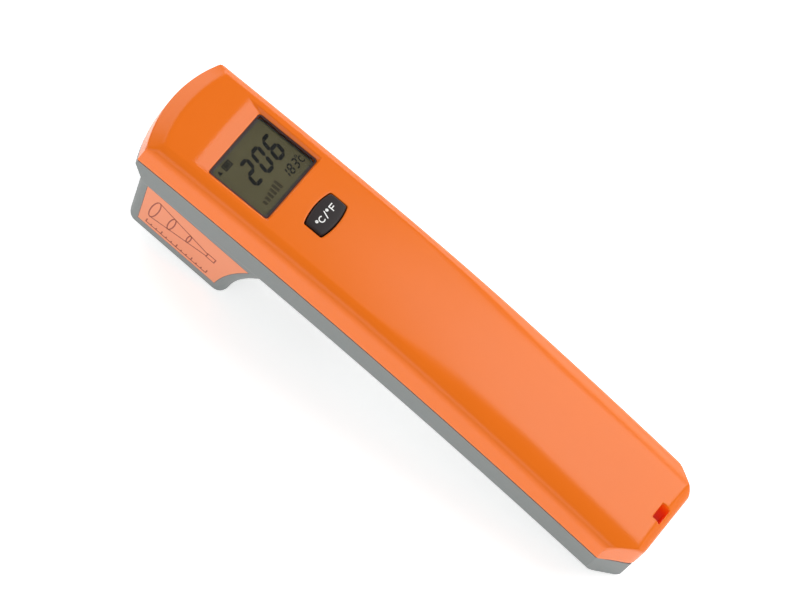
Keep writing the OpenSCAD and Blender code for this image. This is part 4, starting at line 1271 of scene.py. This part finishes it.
class NoseFront(bpy.types.Operator):
    """Finishes the bezel, lens, laser and the sensor behind them"""

    bl_idname = "thermometer.nose_front"
    bl_label = "Nose front"

    def execute(self, context):
        black = moulded("bezel_black", colours(context).black, 0.4, bump=0.2, Tone=0.1, Spread=0.1)
        for node in ("nose_bezel", "lens_ring"):
            dress(node, black)
        dress("ir_lens", moulded("lens_polymer", srgb(0xB9B4A2), 0.25, Tone=0.05, coat=0.3))
        dress("sensor_barrel", metal("turned_barrel", srgb(0xB9BCBE), 0.3))
        dress("thermopile", metal("sensor_can", srgb(0xC9C7C0), 0.25))
        dress("laser_module", metal("laser_brass", srgb(0xC9A24B), 0.3))
        dress("laser_window", clear_pane("laser_pane", (0.9, 0.45, 0.4, 1), 0.05))
        return {"FINISHED"}


class Trigger(bpy.types.Operator):
    """Finishes the trigger, its pin and its switch"""

    bl_idname = "thermometer.trigger"
    bl_label = "Trigger"

    def execute(self, context):
        tone = colours(context)
        dress("trigger", moulded("trigger_black", tone.black, 0.5, bump=0.3, Tone=0.1, Spread=0.12))
        dress("trigger_pin", metal("pin_steel", tone.steel, 0.25))
        dress("trigger_switch", moulded("trigger_switch", srgb(0x202224), 0.5, Tone=0.1))
        dress("trigger_plunger", moulded("trigger_plunger", srgb(0xA04A30), 0.45, Tone=0.1))
        return {"FINISHED"}


class InsidePieces(bpy.types.Operator):
    """Finishes the boards, the battery and the wiring"""

    bl_idname = "thermometer.inside_pieces"
    bl_label = "Inside pieces"

    # Colour and roughness of each
    plastics = {
        "controller_chip": (0x222426, 0.45), "battery": (0x3D4A52, 0.35), "battery_snap": (0x1C1D1E, 0.6),
        "battery_leads": (0xA02828, 0.5), "laser_leads": (0xB03030, 0.5),
        "sensor_cable": (0xC79A50, 0.35), "cable_socket": (0xE0DCD0, 0.5),
        "main_board": (0x1F6B3A, 0.35), "sensor_board": (0x1F6B3A, 0.35)}

    def execute(self, context):
        for node, (code, roughness) in self.plastics.items():
            dress(node, moulded(node, srgb(code), roughness, Tone=0.2, bump=0.2))
        dress("board_capacitors", metal("capacitor_can", srgb(0x8794A5), 0.35))
        return {"FINISHED"}


class Fasteners(bpy.types.Operator):
    """Makes the cross-recessed casing screws and finishes the others"""

    bl_idname = "thermometer.fasteners"
    bl_label = "Fasteners"

    # Cross recess: reach and half width of its arms as shares of the head, depth, foot's share, edge
    cross_arm, cross_width, cross_depth, cross_foot, cross_edge = 0.62, 0.2, 0.9, 0.6, 0.05
    # Rounding of the head; the thread's plain ends, pitch and depth; and the shank's tip
    head_round = 0.5
    thread_start, thread_end, thread_pitch, thread_depth = 0.5, 1.0, 1.0, 0.25
    tip_radius, tip_length = 0.4, 0.3

    def execute(self, context):
        steel = metal("screw_steel", colours(context).steel, 0.3)
        for node in ("nose_screws", "board_screws"):
            dress(node, steel)
        body = body_place(casing_shape(context))
        skin = Skin()
        for points in four_screws("shell_screws", body):
            self.screw(skin, points)
        skin.piece("casing_screws", body, steel, "casing", "steel", ["shell_screws"], smooth_angle=40)
        return {"FINISHED"}

    def screw(self, skin, points):
        """A pan head facing down and a threaded shank, in the space of a packed screw's points."""
        low, high = points.min(axis=0), points.max(axis=0)
        centre, head = (low + high) / 2, (high[0] - low[0]) / 2
        away = np.hypot(points[:, 0] - centre[0], points[:, 1] - centre[1])
        # Points by the head's edge tell where the head ends, those at the tip how thick the shank is
        under_head = points[away > 0.9 * head][:, 2].max()
        shank = away[points[:, 2] > high[2] - 0.1].max()
        root, flat_head = shank - self.thread_depth, head - self.head_round
        ring = circle(96)
        c, s = np.abs(ring).T + 1e-9
        arm, width = self.cross_arm * head, self.cross_width * head
        cross = ring * np.maximum(np.minimum(arm / c, width / s), np.minimum(width / c, arm / s))[:, None]
        levels = [(self.cross_foot * cross, low[2] + self.cross_depth), (cross, low[2] + self.cross_edge),
                  (ring * flat_head, low[2])]
        for turn in np.radians((30, 60, 90)):
            reach = flat_head + self.head_round * math.sin(turn)
            levels.append((ring * reach, low[2] + self.head_round * (1 - math.cos(turn))))
        levels += [(ring * head, under_head), (ring * shank, under_head)]
        for step in range(int((high[2] - under_head - self.thread_end) / self.thread_pitch)):
            z = under_head + self.thread_start + step * self.thread_pitch
            levels += [(ring * shank, z), (ring * root, z + self.thread_pitch / 2)]
        levels += [(ring * root, high[2] - self.tip_length), (ring * self.tip_radius, high[2])]
        skin.tube([level(centre[:2] + flat, z) for flat, z in levels], capped=True)


class Stage(bpy.types.Operator):
    """Lays the floor and sets the lamps and the camera"""

    bl_idname = "thermometer.stage"
    bl_label = "Stage"

    # Camera: place in metres, turn in degrees, sensor's width in millimetres, and farthest sight
    camera_at = (-0.234553, 1.075454, 1.931638)
    camera_turn = (27.54378, -12.58079, -144.74678)
    sensor, farthest = 36, 50
    # Floor: drop under the part in metres, grid lines to a side, and strength of its own light
    floor_drop, floor_lines, floor_glow = 0.0004, 24, 0.52
    # Direction from the part, distance, width and height in metres, and the setting for the power
    lamps = {
        "softbox_rear": ((-0.45, -0.5, 0.74), 1.0, (0.62, 0.7), "softbox"),
        "softbox_left": ((0.1, 0.9, 0.42), 1.2, (1.4, 0.6), "side"),
        "softbox_front": ((0.76, -0.45, 0.42), 1.2, (0.7, 1.1), "fill"),
        "card_right": ((0.1, -0.96, 0.27), 1.2, (1.3, 0.4), "card")}

    def execute(self, context):
        scene, stage = context.scene, context.scene.thermometer_stage
        self.floor(stage.floor)
        world = scene.world or bpy.data.worlds.new("Studio")
        scene.world = world
        world.use_nodes = True
        set_values(world.node_tree.nodes["Background"], Color=(1, 1, 1, 1), Strength=stage.surround)
        for name, (direction, distance, extent, setting) in self.lamps.items():
            self.lamp(name, Vector(direction), distance, extent, getattr(stage, setting))
        scene.objects["card_right"].visible_diffuse = False
        scene.camera = self.camera(stage.lens)
        scene.view_settings.view_transform = "Standard"
        return {"FINISHED"}

    def floor(self, side):
        line = np.linspace(-side / 2, side / 2, self.floor_lines)
        x, y = np.meshgrid(line, line, indexing="ij")
        skin = Skin()
        grid = skin.add(np.stack([x, y, np.full_like(x, -self.floor_drop)], axis=-1))
        skin.quads(grid, np.ones((len(line) - 1, len(line) - 1), bool))
        mesh = skin.mesh("floor")
        white = moulded("floor_white", (0.93, 0.93, 0.93, 1), 0.7, bump=0.02, Tone=0.01)
        mesh.materials.append(glowing(white, (1, 1, 1, 1), self.floor_glow))
        made = new_object("floor", mesh)

    def lamp(self, name, direction, distance, extent, watts):
        light = bpy.data.lights.new(name, "AREA")
        light.shape = "RECTANGLE"
        light.size, light.size_y = extent
        light.energy = watts
        made = new_object(name, light)
        made.location = direction.normalized() * distance
        made.rotation_euler = direction.to_track_quat("Z", "Y").to_euler()

    def camera(self, lens):
        camera = bpy.data.cameras.new("photo_view")
        camera.lens, camera.sensor_width, camera.clip_end = lens, self.sensor, self.farthest
        made = new_object("photo_view", camera)
        made.location = self.camera_at
        made.rotation_euler = Euler([math.radians(turn) for turn in self.camera_turn], "XYZ")
        return made


PIECES = (UpperCasing, GreyCasing, Display, UnitButton, NoseLabels, NoseFront, Trigger, InsidePieces,
          Fasteners, Stage)


class ThermometerPanel(bpy.types.Panel):
    """Lists the pieces"""

    bl_idname = "VIEW3D_PT_thermometer"
    bl_label = "Infrared thermometer"
    bl_space_type = "VIEW_3D"
    bl_region_type = "UI"
    bl_category = "Thermometer"

    def draw(self, context):
        for piece in PIECES:
            self.layout.operator(piece.bl_idname)


GROUPS = {"thermometer_casing": CasingSizes, "thermometer_display": DisplaySizes,
          "thermometer_button": ButtonSizes, "thermometer_finishes": Finishes,
          "thermometer_stage": StageSizes}
CLASSES = (*GROUPS.values(), *PIECES, ThermometerPanel)


def register():
    for cls in CLASSES:
        bpy.utils.register_class(cls)
    for name, group in GROUPS.items():
        setattr(bpy.types.Scene, name, PointerProperty(type=group))


def unregister():
    for name in GROUPS:
        delattr(bpy.types.Scene, name)
    for cls in reversed(CLASSES):
        bpy.utils.unregister_class(cls)


def main():
    register()
    for piece in PIECES:
        getattr(bpy.ops.thermometer, piece.bl_idname.split(".")[1])()


if __name__ == "__main__":
    main()
